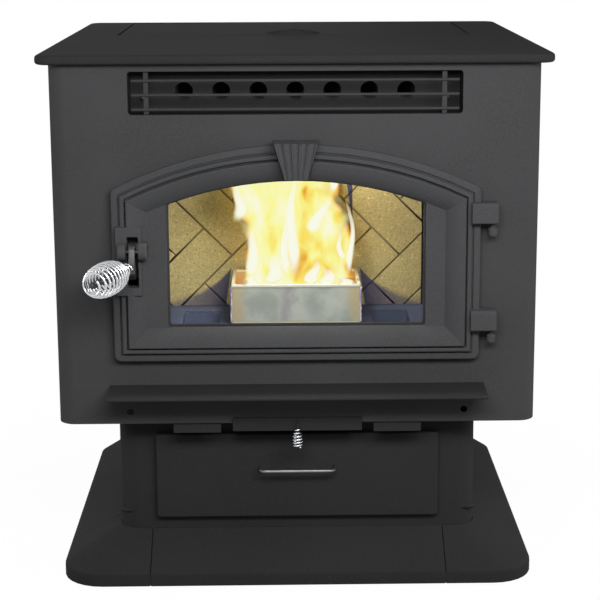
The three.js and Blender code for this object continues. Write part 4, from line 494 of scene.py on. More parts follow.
def fire_lining(name):
    """Steel inside the firebox: blued by heat, sooted on its walls, with grey ash on its floor."""
    s = Finish(name)
    color = colors().lining
    under, over = 0.343, 0.36  # heights below and above the firebox floor, between which ash lies
    cloud = s.noise(11.0, 4.0)
    fine = s.noise(220.0, 3.0)
    height = s.axis("Z")
    soot = (height + cloud * 0.06).span(0.372, 0.44)
    tone = s.mix(cloud.span(0.35, 0.7), shade(color, 0.8), shade(color, 1.2))
    tone = s.mix(soot * 0.9, tone, (0.028, 0.029, 0.036))
    ash = (fine * 0.6 + cloud * 0.5).span(0.58, 0.72)
    ash = ash * (over - height).span(0.0, 0.012) * (height - under).span(0.0, 0.004)
    tone = s.mix(ash * 0.35, tone, (0.32, 0.32, 0.33))
    return s.surface(
        Base_Color=tone,
        Metallic=0.0,
        Roughness=0.66 + fine * 0.2,
        Specular_IOR_Level=0.15,
        Normal=s.bump(fine, 0.25, 0.0003),
    )


def brick_face(name):
    """Buff moulded brick, speckled: dark grooves with a lit edge, and the pot's blue shadow on either side."""
    s = Finish(name)
    color = colors().brick
    speck = s.noise(520.0, 3.0, 0.7)
    coarse = s.noise(190.0, 3.0, 0.6)
    cloud = s.noise(9.0, 4.0)
    depth = s.axis("Y")
    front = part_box("brick_panel")[0].y
    pot_side, pot_top, floor = 0.0985, 0.4125, 0.353  # where the shadow starts, is highest and ends
    groove = depth.span(front + 0.0004, front + 0.0024)
    tone = s.mix(cloud.span(0.3, 0.72), shade(color, 0.85), shade(color, 1.12))
    tone = s.mix(speck.span(0.5, 0.66) * 0.75, tone, shade(color, 0.4))
    tone = s.mix(coarse.span(0.56, 0.7) * 0.6, tone, shade(color, 1.7))
    tone = s.mix(groove * (0.5 + coarse * 0.3), tone, (0.11, 0.08, 0.045))
    lit = depth.span(front + 0.0002, front + 0.0008) * (1.0 - depth.span(front + 0.0008, front + 0.0014))
    tone = s.mix(lit * 0.7, tone, (0.85, 0.76, 0.5))
    side, height = abs(s.axis("X")), s.axis("Z")
    away = side - pot_side
    brow = floor + ((side - 0.009) / 0.09) ** -2.0 * (pot_top - floor)
    wedge = ((brow - height) / (0.002 + away * 0.2)).span(0.0, 1.0)
    wedge = wedge * (away - (pot_top - height) * 0.15).span(0.0, 0.0015)
    tone = s.mix(wedge * (0.95 - away * 3.5), tone, (0.06, 0.062, 0.14))
    return s.surface(
        Base_Color=tone,
        Roughness=0.93,
        Normal=s.bump(speck * 0.5 + coarse * 0.5, 0.5, 0.0009),
    )


def pot_steel(name):
    """Stainless burn pot: a pale green-grey bloom in the middle, straw and purple towards its edges, with
    painted highlights along its rim and foot.
    """
    s = Finish(name)
    low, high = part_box("burn_pot")
    across, height = s.axis("X"), s.axis("Z")
    cloud = s.noise(24.0, 4.0, 0.6)
    fine = s.noise(320.0, 2.0)
    x = abs(across) / high.x
    z = abs((height - (low.z + high.z) / 2) / ((high.z - low.z) / 2))
    edge = x.most(z * 0.92) + (cloud - 0.5) * 0.35
    tone = s.mix(cloud.span(0.35, 0.66), (0.4, 0.43, 0.37), (0.56, 0.59, 0.5))
    stain = (across + (cloud - 0.5) * 0.05 + 0.01) / 0.016
    tone = s.mix((1.0 - abs(stain)).span(0.0, 1.0) * 0.5, tone, (0.26, 0.22, 0.25))
    tone = s.mix(edge.span(0.74, 0.92), tone, (0.56, 0.48, 0.28))
    tone = s.mix(x.span(0.975, 0.995) * 0.8, tone, (0.22, 0.11, 0.13))
    # Painted highlight: a pale band along the top rim, with a dark line of painted shade just under it.
    rim = (height - high.z + 0.0048).span(0.0, 0.0008)
    tone = s.mix(rim, tone, (0.74, 0.74, 0.6))
    painted_crease_shade = rim * (1.0 - (height - high.z + 0.004).span(0.0, 0.0008))
    tone = s.mix(painted_crease_shade * 0.6, tone, (0.2, 0.2, 0.14))
    # Painted highlight: a pale line along the pot's foot.
    painted_hem_highlight = (low.z + 0.0035 - height).span(0.0, 0.001)
    tone = s.mix(painted_hem_highlight * 0.8, tone, (0.7, 0.7, 0.5))
    return s.surface(
        Base_Color=tone,
        Metallic=0.35,
        Roughness=0.42 + cloud * 0.2,
        Normal=s.bump(fine * 0.4 + cloud * 0.6, 0.15, 0.0006),
    )


def weld_bead(name):
    """A weld bead, painted bright and pale lilac as a highlight: the light that its edge catches."""
    s = Finish(name)
    ripple = s.noise(420.0, 2.0)
    cloud = s.noise(90.0, 2.0)
    return s.surface(
        Base_Color=s.mix(cloud.span(0.35, 0.65), (0.42, 0.34, 0.5), (0.85, 0.83, 0.88)),
        Metallic=0.3,
        Roughness=0.35 + ripple * 0.2,
        Normal=s.bump(ripple, 0.4, 0.0003),
    )


def clear_glass(name):
    """Ceramic glass: nearly clear, with a thin film of soot."""
    s = Finish(name)
    film = s.noise(7.0, 3.0)
    return s.surface(
        Base_Color=s.mix(film.span(0.3, 0.7), (0.02, 0.021, 0.022), (0.035, 0.036, 0.037)),
        Roughness=0.03 + film.span(0.4, 0.8) * 0.05,
        Alpha=0.03 + film.span(0.5, 0.85) * 0.02,
        IOR=1.5,
    )


def rope_seal(name):
    """Braided rope: two families of strands that cross."""
    s = Finish(name)
    x, y, z = s.axis("X"), s.axis("Y"), s.axis("Z")
    left = ((x + z + y) * 1800.0).wave()
    right = ((x - z + y) * 1800.0).wave()
    braid = left.most(right)
    fuzz = s.noise(900.0, 3.0)
    return s.surface(
        Base_Color=s.mix(braid.span(-0.6, 1.0), (0.012, 0.012, 0.013), (0.06, 0.06, 0.062)),
        Roughness=0.95,
        Normal=s.bump(braid * 0.8 + fuzz * 0.3, 0.8, 0.0009),
    )


def black_plastic(name):
    """Moulded plastic with a fine grain."""
    s = Finish(name)
    grain = s.cells(900.0)
    cloud = s.noise(20.0, 2.0)
    return s.surface(
        Base_Color=s.mix(cloud.span(0.3, 0.7), (0.018, 0.018, 0.02), (0.026, 0.026, 0.028)),
        Roughness=0.4 + grain * 0.12,
        Normal=s.bump(grain, 0.12, 0.0002),
    )


def key_rubber(name):
    """The grey rubber of the keys."""
    s = Finish(name)
    grain = s.noise(700.0, 2.0)
    return s.surface(
        Base_Color=s.mix(grain.span(0.3, 0.7), (0.1, 0.105, 0.11), (0.14, 0.145, 0.15)),
        Roughness=0.55 + grain * 0.15,
        Normal=s.bump(grain, 0.1, 0.0001),
    )


def display_window(name):
    """A dark display with faint bar segments behind it."""
    s = Finish(name)
    bars = (s.axis("Y") * 900.0).wave().span(0.2, 0.5)
    haze = s.noise(50.0, 2.0)
    return s.surface(
        Base_Color=s.mix(bars * 0.4, (0.01, 0.014, 0.012), (0.03, 0.05, 0.035)),
        Roughness=0.12 + haze * 0.1,
        Coat_Weight=0.5,
    )


def wood_pellet(name):
    """Pressed sawdust: shiny pressed skin, lengthways cracks and a tone that differs from one to the next."""
    s = Finish(name)
    color = colors().pellet
    each = s.own("tone")
    fibre = s.noise(900.0, 3.0, 0.65)
    crack = s.cells(420.0).span(0.05, 0.3)
    tone = s.mix(each, shade(color, 0.62), shade(color, 1.3))
    tone = s.mix(fibre.span(0.4, 0.7) * 0.5, tone, shade(color, 0.55))
    return s.surface(
        Base_Color=tone,
        Roughness=0.5 + fibre * 0.25,
        Normal=s.bump(crack * 0.5 + fibre * 0.5, 0.4, 0.0004),
    )


def ember_glow(name):
    """Burning pellets: black char with orange showing through the cracks."""
    s = Finish(name)
    heat = s.noise(130.0, 3.0, 0.6).span(0.38, 0.62)
    tone = s.mix(heat, (0.03, 0.02, 0.015), (0.7, 0.2, 0.04))
    return s.surface(
        Base_Color=tone,
        Roughness=0.85,
        Emission_Color=s.mix(heat, (0.2, 0.02, 0.0), (1.0, 0.45, 0.08)),
        Emission_Strength=2.5,
    )


def loose_ash(name):
    """Grey wood ash: lumps, fine dust and dark cinders."""
    s = Finish(name)
    fine = s.noise(420.0, 4.0, 0.7)
    lump = s.noise(60.0, 4.0)
    cinder = s.noise(240.0, 2.0).span(0.66, 0.74)
    tone = s.mix(lump.span(0.3, 0.7), (0.25, 0.245, 0.24), (0.42, 0.41, 0.4))
    tone = s.mix(cinder * 0.8, tone, (0.04, 0.038, 0.036))
    return s.surface(
        Base_Color=tone,
        Roughness=0.97,
        Normal=s.bump(fine * 0.6 + lump * 0.4, 0.7, 0.0015),
    )


# The flames' colours by heat, from the smoky rim to the cream core.
FLAME_STOPS = (
    (0.0, (0.1, 0.03, 0.01, 1.0)),
    (0.08, (0.55, 0.15, 0.012, 1.0)),
    (0.22, (0.86, 0.42, 0.05, 1.0)),
    (0.4, (1.0, 0.79, 0.14, 1.0)),
    (0.58, (1.0, 0.98, 0.34, 1.0)),
    (0.85, (1.0, 1.0, 0.75, 1.0)),
)


def flame_sheet(name):
    """The body of the fire: gold pockets in yellow and cream, with an orange rim that fades to nothing."""
    s = Finish(name)
    rim = s.own("rim")  # 0 on the sheet's outline, 1 well inside it
    core = s.own("core")  # how hot the sheet is at its outline and inside it
    lift = s.own("lift")  # 0 at the foot, 1 at the top
    sway = s.noise(9.0, 2.0, 0.5)
    sway = s.node("ShaderNodeCombineXYZ", None, {"X": sway * 0.09, "Z": sway * 0.03})
    tilted = s.node("ShaderNodeVectorMath", {"operation": "ADD"}, {0: s.place, 1: sway})
    lick = s.noise(30.0, 3.0, 0.5, place=tilted, stretch=(1.0, 1.0, 0.3))
    pocket = s.noise(19.0, 2.0, 0.5, place=tilted, stretch=(1.0, 1.0, 0.5)).span(0.46, 0.66)
    pocket = pocket * (s.axis("X") * 5.0 + 0.75).span(0.2, 1.0)
    foot = (1.0 - lift).span(0.6, 1.0)
    heat = core.span(0.0, 0.28) * 0.64 + (lick - 0.5) * 1.3 - pocket * 0.5 + foot * 0.3
    glow = s.node("ShaderNodeValToRGB", {"stops": FLAME_STOPS}, {"Fac": heat}, "Color")
    return s.surface(
        Base_Color=(0.0, 0.0, 0.0),
        Roughness=1.0,
        Specular_IOR_Level=0.0,
        Emission_Color=glow,
        Emission_Strength=colors().flame_strength,
        Alpha=(rim + (lick - 0.5) * 0.1).span(0.0, 0.1),
    )


def flame_tongue(name):
    """A bright lick in front of the body: white along its middle, clear at its outline."""
    s = Finish(name)
    rim, lift = s.own("rim"), s.own("lift")
    lick = s.noise(60.0, 2.0, 0.5, stretch=(1.0, 1.0, 0.25))
    heat = rim + (lick - 0.5) * 0.5
    return s.surface(
        Base_Color=(0.0, 0.0, 0.0),
        Roughness=1.0,
        Specular_IOR_Level=0.0,
        Emission_Color=s.mix(heat.span(0.1, 0.8), (1.0, 0.93, 0.36), (1.0, 1.0, 0.85)),
        Emission_Strength=colors().flame_strength,
        Alpha=(rim + (lick - 0.5) * 0.5).span(0.05, 0.9) * (1.0 - lift.span(0.4, 1.0)),
    )


# What makes each finish.
FINISHES = {
    "cabinet_paint": sheet_paint,
    "cast_paint": casting_paint,
    # Painted light: the casting paint made paler, for the door, keystone and hinge brackets.
    "door_paint": lambda name: casting_paint(name, 1.28),
    # Painted shade: the casting paint made darker, for the top, lid, drawer, pedestal, slides, lip and base.
    "lower_paint": lambda name: casting_paint(name, 0.62),
    "bright_wire": bright_wire,
    "bare_steel": bare_steel,
    "dark_steel": dark_steel,
    "zinc_sheet": zinc_sheet,
    "black_paint": black_paint,
    "fire_lining": fire_lining,
    "brick": brick_face,
    "pot_steel": pot_steel,
    "weld_bead": weld_bead,
    "glass": clear_glass,
    "rope": rope_seal,
    "plastic": black_plastic,
    "key_rubber": key_rubber,
    "display": display_window,
    "wood_pellet": wood_pellet,
    "ember": ember_glow,
    "ash": loose_ash,
    "flame": flame_sheet,
    "flame_tongue": flame_tongue,
}


# ---------------------------------------------------------------- mesh helpers
def link(name, data):
    piece = bpy.data.objects.new(name, data)
    bpy.context.scene.collection.objects.link(piece)
    return piece


def bake(piece):
    """Turns a piece with modifiers into a plain mesh at the origin."""
    bpy.context.view_layer.update()
    evaluated = piece.evaluated_get(bpy.context.evaluated_depsgraph_get())
    mesh = bpy.data.meshes.new_from_object(evaluated)
    old = piece.data
    piece.modifiers.clear()
    piece.data = mesh
    mesh.name = piece.name
    bpy.data.meshes.remove(old)
    return piece


def dress(piece, look, body, stands_for=()):
    """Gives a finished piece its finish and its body."""
    piece.data.materials.clear()
    piece.data.materials.append(finish(look))
    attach(piece, body)
    if stands_for:
        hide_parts(*stands_for)
    return piece


def paint_node(node, look):
    """Assigns a finish to a frame node's slots."""
    data = NODES[node].data
    if not data.materials:
        data.materials.append(None)
    for i in range(len(data.materials)):
        data.materials[i] = finish(look)


def body_of(node):
    """The body that a frame node rides on."""
    return NODES[node]["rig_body"]


def keep_pierced_faces(work, limit):
    """Marks the inner edges of every flat region that has a hole in it, so that merging leaves them."""
    flat = {e for e in work.edges if len(e.link_faces) == 2 and e.calc_face_angle(math.pi) < limit}
    seen = set()
    for face in work.faces:
        if face in seen:
            continue
        seen.add(face)
        region, waiting = [face], [face]
        while waiting:
            for edge in waiting.pop().edges:
                if edge in flat:
                    for other in edge.link_faces:
                        if other not in seen:
                            seen.add(other)
                            region.append(other)
                            waiting.append(other)
        corners = {v for f in region for v in f.verts}
        edges = {e for f in region for e in f.edges}
        if len(corners) - len(edges) + len(region) != 1:
            for edge in edges & flat:
                edge.seam = True


def room_at(edges):
    """How far each sharp edge is from the nearest sharp edge that doesn't meet it."""
    ends = np.array([[tuple(v.co) for v in e.verts] for e in edges])
    index = np.array([[v.index for v in e.verts] for e in edges])
    start, along = ends[:, 0], ends[:, 1] - ends[:, 0]
    length2 = np.maximum((along**2).sum(axis=1), 1e-18)
    room = np.empty(len(edges))
    for i, (a, b) in enumerate(index):
        apart = ~((index == a) | (index == b)).any(axis=1)
        if not apart.any():
            room[i] = 1.0
            continue
        base, way, size = start[apart], along[apart], length2[apart]
        near = 1.0
        for t in (0.15, 0.5, 0.85):
            offset = start[i] + along[i] * t - base
            reach = np.clip((offset * way).sum(axis=1) / size, 0.0, 1.0)
            gap = offset - way * reach[:, None]
            near = min(near, math.sqrt((gap**2).sum(axis=1).min()))
        room[i] = near
    return room


def folded_points(mesh):
    """The corners of the faces that fold over themselves."""
    mesh.calc_loop_triangles()
    count, triangles = len(mesh.polygons), len(mesh.loop_triangles)
    whole, parts, owner = np.zeros(count), np.zeros(triangles), np.zeros(triangles, dtype=int)
    mesh.polygons.foreach_get("area", whole)
    mesh.loop_triangles.foreach_get("area", parts)
    mesh.loop_triangles.foreach_get("polygon_index", owner)
    spare = np.bincount(owner, parts, count) - whole
    folded = []
    for i in np.nonzero(spare > 1e-9 + 1e-3 * whole)[0]:
        face = mesh.polygons[i]
        corners = [mesh.vertices[v].co.copy() for v in face.vertices]
        flat = max(abs((c - face.center).dot(face.normal)) for c in corners) < SAME_POINT
        if flat or spare[i] > 0.3 * whole[i]:
            folded += corners
    return folded


def rounded(piece, width, segments):
    """Bevels the weighted edges, and again with less where the bevel made a face fold over itself."""
    rest = piece.data
    reach = 2.5 * width
    tries, halvings = 6, 4  # after the halvings, the edges near a fold stay sharp
    for attempt in range(tries):
        piece.data = rest.copy()
        bevel = piece.modifiers.new("edges", "BEVEL")
        bevel.width = width
        bevel.segments = segments
        bevel.limit_method = "WEIGHT"
        bevel.use_clamp_overlap = False
        bevel.miter_outer = "MITER_ARC"
        bake(piece)
        folded = folded_points(piece.data)
        if not folded:
            break
        tree = KDTree(len(folded))
        for i, point in enumerate(folded):
            tree.insert(point, i)
        tree.balance()
        shares = rest.attributes["bevel_weight_edge"].data
        keep = 0.5 if attempt < halvings else 0.0
        for edge in rest.edges:
            if shares[edge.index].value:
                ends = [rest.vertices[v].co for v in edge.vertices]
                if min(tree.find(end)[2] for end in ends) < reach:
                    shares[edge.index].value *= keep
    bpy.data.meshes.remove(rest)


def softened(node, look, width, sharp=38.0, segments=2):
    """A copy of a frame node with its edges rounded and its curves shaded smooth."""
    room_share = 0.42  # a rounded edge takes less than half of the room beside it
    paint_node(node, look)
    mesh = NODES[node].data.copy()
    work = bmesh.new()
    work.from_mesh(mesh)
    bmesh.ops.remove_doubles(work, verts=work.verts, dist=SAME_POINT)
    limit = math.radians(0.4)
    keep_pierced_faces(work, limit)
    bmesh.ops.dissolve_limit(
        work,
        angle_limit=limit,
        verts=work.verts,
        edges=work.edges,
        use_dissolve_boundaries=False,
        delimit={"SEAM"},
    )
    for face in work.faces:
        face.smooth = True
    share = work.edges.layers.float.new("bevel_weight_edge")
    work.verts.index_update()
    sharp = math.radians(sharp)
    edges = [e for e in work.edges if len(e.link_faces) == 2 and e.calc_face_angle(0.0) > sharp]
    if width > 0 and edges:
        for edge, room in zip(edges, room_at(edges)):
            edge[share] = min(1.0, room_share * room / width)
    work.to_mesh(mesh)
    work.free()
    piece = link(node + "_dressed", mesh)
    if width > 0 and edges:
        rounded(piece, width, segments)
    piece.data.name = piece.name
    piece.data.set_sharp_from_angle(angle=math.radians(50.0))
    weights = piece.modifiers.new("faces", "WEIGHTED_NORMAL")
    weights.keep_sharp = True
    bake(piece)
    return dress(piece, look, body_of(node), (node,))


def mesh_from(name, points, faces, smooth=True):
    mesh = bpy.data.meshes.new(name)
    mesh.from_pydata([tuple(p) for p in points], [], faces)
    mesh.validate()
    mesh.update()
    for polygon in mesh.polygons:
        polygon.use_smooth = smooth
    return mesh


def mesh_of(name, work):
    """The mesh that a bmesh holds, which is freed."""
    mesh = bpy.data.meshes.new(name)
    work.to_mesh(mesh)
    work.free()
    return mesh


def outward(mesh):
    """Turns the faces of a closed mesh outwards."""
    work = bmesh.new()
    work.from_mesh(mesh)
    bmesh.ops.recalc_face_normals(work, faces=work.faces)
    work.to_mesh(mesh)
    work.free()
    return mesh


def grid_points(count, place):
    """place(u, v) at every corner of a square grid, u and v from 0 to 1, row by row."""
    return [place(i / count, j / count) for j in range(count + 1) for i in range(count + 1)]


def grid_faces(across, up, start=0):
    """The faces of a grid of points that are stored row by row from start."""
    row = across + 1
    corners = (0, 1, row + 1, row)
    return [tuple(start + j * row + i + k for k in corners) for j in range(up) for i in range(across)]


def lower(points, drop):
    return [(p[0], p[1], p[2] - drop) for p in points]


def store(mesh, **values):
    """Stores one number for each point, under each name."""
    for name, numbers in values.items():
        mesh.attributes.new(name, "FLOAT", "POINT").data.foreach_set("value", numbers)
    return mesh


def tube_mesh(name, line, radius, sides):
    """A round wire along a line of points, with a domed tip at each end."""
    last = len(line) - 1
    tangents = [(line[min(i + 1, last)] - line[max(i - 1, 0)]).normalized() for i in range(last + 1)]
    tip = ((0.35, 0.45), (0.2, 0.8))  # reach past the end and width, as shares of the radius
    stations = [(line[0] - tangents[0] * radius * reach, 0, grow) for reach, grow in tip]
    stations += [(point, i, 1.0) for i, point in enumerate(line)]
    stations += [(line[-1] + tangents[-1] * radius * reach, last, grow) for reach, grow in reversed(tip)]
    points = []
    side = tangents[0].orthogonal().normalized()
    for centre, i, grow in stations:
        along = tangents[i]
        side = (side - along * side.dot(along)).normalized()
        up = along.cross(side)
        for a in (2 * math.pi * k / sides for k in range(sides)):
            points.append(centre + (side * math.cos(a) + up * math.sin(a)) * radius * grow)
    faces = []
    for r in range(len(stations) - 1):
        for k in range(sides):
            n = (k + 1) % sides
            faces.append((r * sides + k, r * sides + n, (r + 1) * sides + n, (r + 1) * sides + k))
    faces.append(tuple(reversed(range(sides))))
    faces.append(tuple(len(points) - sides + k for k in range(sides)))
    return outward(mesh_from(name, points, faces))


def run_tree(piece, tree, values):
    """Runs a geometry tree on a piece with its inputs set by identifier, and keeps the plain mesh."""
    modifier = piece.modifiers.new("nodes", "NODES")
    modifier.node_group = tree
    for item in tree.interface.items_tree:
        if item.item_type == "SOCKET" and item.in_out == "INPUT" and item.name in values:
            modifier[item.identifier] = values[item.name]
    return bake(piece)


# ---------------------------------------------------------------- geometry trees
class PieceTree:
    """A geometry tree with named inputs, one of them the finish, whose nodes are added by short calls."""

    def __init__(self, name, inputs):
        """inputs are (name, socket type, default)."""
        self.tree = bpy.data.node_groups.new(name, "GeometryNodeTree")
        self.tree.interface.new_socket("Geometry", in_out="INPUT", socket_type="NodeSocketGeometry")
        for label, kind, default in inputs:
            item = self.tree.interface.new_socket(label, in_out="INPUT", socket_type=kind)
            if default is not None:
                item.default_value = default
        self.tree.interface.new_socket("Geometry", in_out="OUTPUT", socket_type="NodeSocketGeometry")
        self.given = self.tree.nodes.new("NodeGroupInput").outputs

    def node(self, kind, settings, sockets, output=0):
        """Adds a node. A list in sockets gives one socket several links."""
        made = self.tree.nodes.new(kind)
        for name, value in settings.items():
            setattr(made, name, value)
        for name, value in sockets.items():
            for source in value if isinstance(value, list) else [value]:
                if isinstance(source, bpy.types.NodeSocket):
                    self.tree.links.new(source, made.inputs[name])
                else:
                    made.inputs[name].default_value = source
        return made.outputs[output]

    def share(self, label, part):
        """A part of one of the inputs."""
        return self.node("ShaderNodeMath", {"operation": "MULTIPLY"}, {0: self.given[label], 1: part})

    def vector(self, **letters):
        return self.node("ShaderNodeCombineXYZ", {}, letters)

    def moved(self, mesh, **sockets):
        return self.node("GeometryNodeTransform", {}, {"Geometry": mesh, **sockets})

    def chance(self, low, high):
        """A random number for each point. The sockets go by number, because each type has a Min and a Max."""
        sockets = {2: low, 3: high, "Seed": self.given["Seed"]}
        return self.node("FunctionNodeRandomValue", {"data_type": "FLOAT"}, sockets, 1)

    def end(self, copies):
        """Makes the copies real and gives them their finish."""
        real = self.node("GeometryNodeRealizeInstances", {}, {"Geometry": copies})
        coat = self.node("GeometryNodeSetMaterial", {}, {"Geometry": real, "Material": self.given["Finish"]})
        self.tree.links.new(coat, self.tree.nodes.new("NodeGroupOutput").inputs[0])
        return self.tree


def screw_tree():
    """Puts a domed screw head with a cross slot on every point, turned to face the given way."""
    slot_length, slot_width = 0.62, 0.13  # as shares of the head
    g = PieceTree(
        "Screw heads",
        [
            ("Head", "NodeSocketFloat", 0.0075),
            ("Rise", "NodeSocketFloat", 0.0022),
            ("Facing", "NodeSocketRotation", None),
            ("Finish", "NodeSocketMaterial", None),
        ],
    )
    ball = g.node("GeometryNodeMeshUVSphere", {}, {"Segments": 20, "Rings": 12, "Radius": 1.0})
    half, rise = g.share("Head", 0.5), g.given["Rise"]
    dome = g.moved(ball, Scale=g.vector(X=half, Y=half, Z=rise))
    size = g.vector(X=g.share("Head", slot_length), Y=g.share("Head", slot_width), Z=rise)
    bar = g.moved(g.node("GeometryNodeMeshCube", {}, {"Size": size}), Translation=g.vector(Z=rise))
    across = g.moved(bar, Rotation=Euler((0.0, 0.0, math.pi / 2)))
    cut = {"Mesh 1": dome, "Mesh 2": [bar, across]}
    cut = g.node("GeometryNodeMeshBoolean", {"operation": "DIFFERENCE"}, cut)
    heads = {"Points": g.given["Geometry"], "Instance": cut, "Rotation": g.given["Facing"]}
    return g.end(g.node("GeometryNodeInstanceOnPoints", {}, heads))


def pellet_tree():
    """Scatters pellets over a surface with every turn at random, and stores a tone on each."""
    density = 40000.0  # more than fits, so that the spacing decides
    least_turn, most_turn = (1.05, -0.4, 0.0), (2.1, 0.4, 6.283)
    shortest, longest = 0.6, 1.1  # as shares of the length
    g = PieceTree(
        "Pellets",
        [
            ("Width", "NodeSocketFloat", 0.006),
            ("Length", "NodeSocketFloat", 0.016),
            ("Spacing", "NodeSocketFloat", 0.008),
            ("Seed", "NodeSocketInt", 7),
            ("Finish", "NodeSocketMaterial", None),
        ],
    )
    seed, spacing = g.given["Seed"], g.given["Spacing"]
    rod = {"Vertices": 8, "Radius": g.share("Width", 0.5), "Depth": g.given["Length"]}
    rod = g.node("GeometryNodeMeshCylinder", {}, rod)
    points = {"Mesh": g.given["Geometry"], "Distance Min": spacing, "Density Max": density, "Seed": seed}
    points = g.node("GeometryNodeDistributePointsOnFaces", {"distribute_method": "POISSON"}, points)
    turn = {0: least_turn, 1: most_turn, "Seed": seed}
    turn = g.node("FunctionNodeRandomValue", {"data_type": "FLOAT_VECTOR"}, turn)
    scale = g.vector(X=1.0, Y=1.0, Z=g.chance(shortest, longest))
    copies = {"Points": points, "Instance": rod, "Rotation": turn, "Scale": scale}
    copies = g.node("GeometryNodeInstanceOnPoints", {}, copies)
    tone = {"Geometry": copies, "Name": "tone", "Value": g.chance(0.0, 1.0)}
    settings = {"data_type": "FLOAT", "domain": "INSTANCE"}
    return g.end(g.node("GeometryNodeStoreNamedAttribute", settings, tone))


# ---------------------------------------------------------------- operators
class StoveStep:
    """What the steps of building the stove share."""

    bl_options = {"REGISTER", "UNDO"}

    @property
    def sizes(self):
        return bpy.context.scene.stove_sizes

    def pellet_inputs(self, spacing, seed, look):
        width, length = self.sizes.pellet_width, self.sizes.pellet_length
        return {"Width": width, "Length": length, "Spacing": spacing, "Seed": seed, "Finish": finish(look)}


# Name, place, the point it is turned to, width and height in metres, and the property that holds its power.
LAMPS = (
    ("key_lamp", (0.2, -1.35, 1.08), (0.0, -0.25, 0.55), (1.2, 0.3), "key_power"),
    ("fill_lamp", (2.2, -1.8, 0.9), (0.0, 0.0, 0.45), (1.4, 1.4), "fill_power"),
    ("left_lamp", (-2.4, 0.45, 0.65), (0.0, 0.2, 0.45), (1.2, 0.8), "side_power"),
    ("right_lamp", (2.4, 0.45, 0.65), (0.0, 0.2, 0.45), (1.2, 0.8), "side_power"),
    ("back_lamp", (-0.5, 2.7, 0.65), (0.0, 0.2, 0.45), (1.6, 0.8), "side_power"),
)
# The camera, as fitted to the photograph: turns in radians, place and lens.
CAMERA_YAW, CAMERA_PITCH, CAMERA_ROLL = 0.01679, 0.20435, -0.00364
CAMERA_PLACE = (-0.01573, -2.52586, 0.94701)
CAMERA_LENS, CAMERA_SHIFT = 98.485, (-0.02025, -0.075)


class STOVE_OT_stage(StoveStep, bpy.types.Operator):
    """Pale floor, soft studio light and the camera"""

    bl_idname = "stove.stage"
    bl_label = "Stage"

    def execute(self, context):
        scene = context.scene
        stage = scene.stove_stage
        scene.view_settings.view_transform = "Standard"
        self.camera(scene)
        self.world(scene, stage)
        self.floor(stage)
        for name, place, target, size, power in LAMPS:
            data = bpy.data.lights.new(name, "AREA")
            data.shape = "RECTANGLE"
            data.size, data.size_y = size
            lamp = self.lamp(data, place, getattr(stage, power))
            lamp.rotation_euler = (Vector(target) - Vector(place)).to_track_quat("-Z", "Y").to_euler()
        # A small round lamp above the window, which lights the brick and the pot.
        data = bpy.data.lights.new("fire_lamp", "POINT")
        data.shadow_soft_size = 0.03
        data.color = (1.0, 0.97, 0.9)
        self.lamp(data, (0.0, -0.21, 0.64), stage.fire_power)
        return {"FINISHED"}

    def lamp(self, data, place, power):
        data.energy = power
        lamp = link(data.name, data)
        lamp.location = place
        return lamp

    def camera(self, scene):
        forward = Vector((math.sin(CAMERA_YAW), math.cos(CAMERA_YAW), 0.0))
        right = Vector((math.cos(CAMERA_YAW), -math.sin(CAMERA_YAW), 0.0))
        up = Vector((0.0, 0.0, 1.0))
        looking = forward * math.cos(CAMERA_PITCH) - up * math.sin(CAMERA_PITCH)
        above = forward * math.sin(CAMERA_PITCH) + up * math.cos(CAMERA_PITCH)
        across = right * math.cos(CAMERA_ROLL) + above * math.sin(CAMERA_ROLL)
        above = above * math.cos(CAMERA_ROLL) - right * math.sin(CAMERA_ROLL)
        data = bpy.data.cameras.new("camera")
        data.sensor_width = 36.0
        data.lens = CAMERA_LENS
        data.shift_x, data.shift_y = CAMERA_SHIFT
        data.clip_end = 100.0
        scene.camera = link("camera", data)
        turn = Matrix((across, above, -looking)).transposed()
        scene.camera.matrix_world = Matrix.Translation(CAMERA_PLACE) @ turn.to_4x4()

    def world(self, scene, stage):
        scene.world = bpy.data.worlds.new("studio")
        s = Finish("studio", scene.world)
        light = s.node("ShaderNodeBackground", None, {"Color": WHITE, "Strength": stage.sky})
        shown = s.node("ShaderNodeBackground", None, {"Color": WHITE, "Strength": 1.0})
        s.end(s.node("ShaderNodeMixShader", None, {0: s.seen(), 1: light, 2: shown}), "ShaderNodeOutputWorld")

    def floor(self, stage):
        """A floor that the camera sees white, and that still takes the stove's shadow."""
        reach, drop = 9.0, 0.0004
        corners = [(reach * x, reach * y, -drop) for x, y in ((-1, -1), (1, -1), (1, 1), (-1, 1))]
        floor = link("floor", mesh_from("floor", corners, [(0, 1, 2, 3)], smooth=False))
        s = Finish("floor_white")
        tone = s.mix(s.noise(1.5, 2.0), shade(stage.floor_color, 0.985), tuple(stage.floor_color))
        matte = s.node("ShaderNodeBsdfDiffuse", None, {"Color": tone})
        away = s.node("ShaderNodeVectorMath", {"operation": "LENGTH"}, {0: s.place}, "Value").span(0.5, 1.7)
        glow = s.node("ShaderNodeEmission", None, {"Color": WHITE, "Strength": 1.15 - away * 0.15})
        shown = s.seen() * (0.84 + away * 0.16)
        floor.data.materials.append(s.end(s.node("ShaderNodeMixShader", None, {0: shown, 1: matte, 2: glow})))


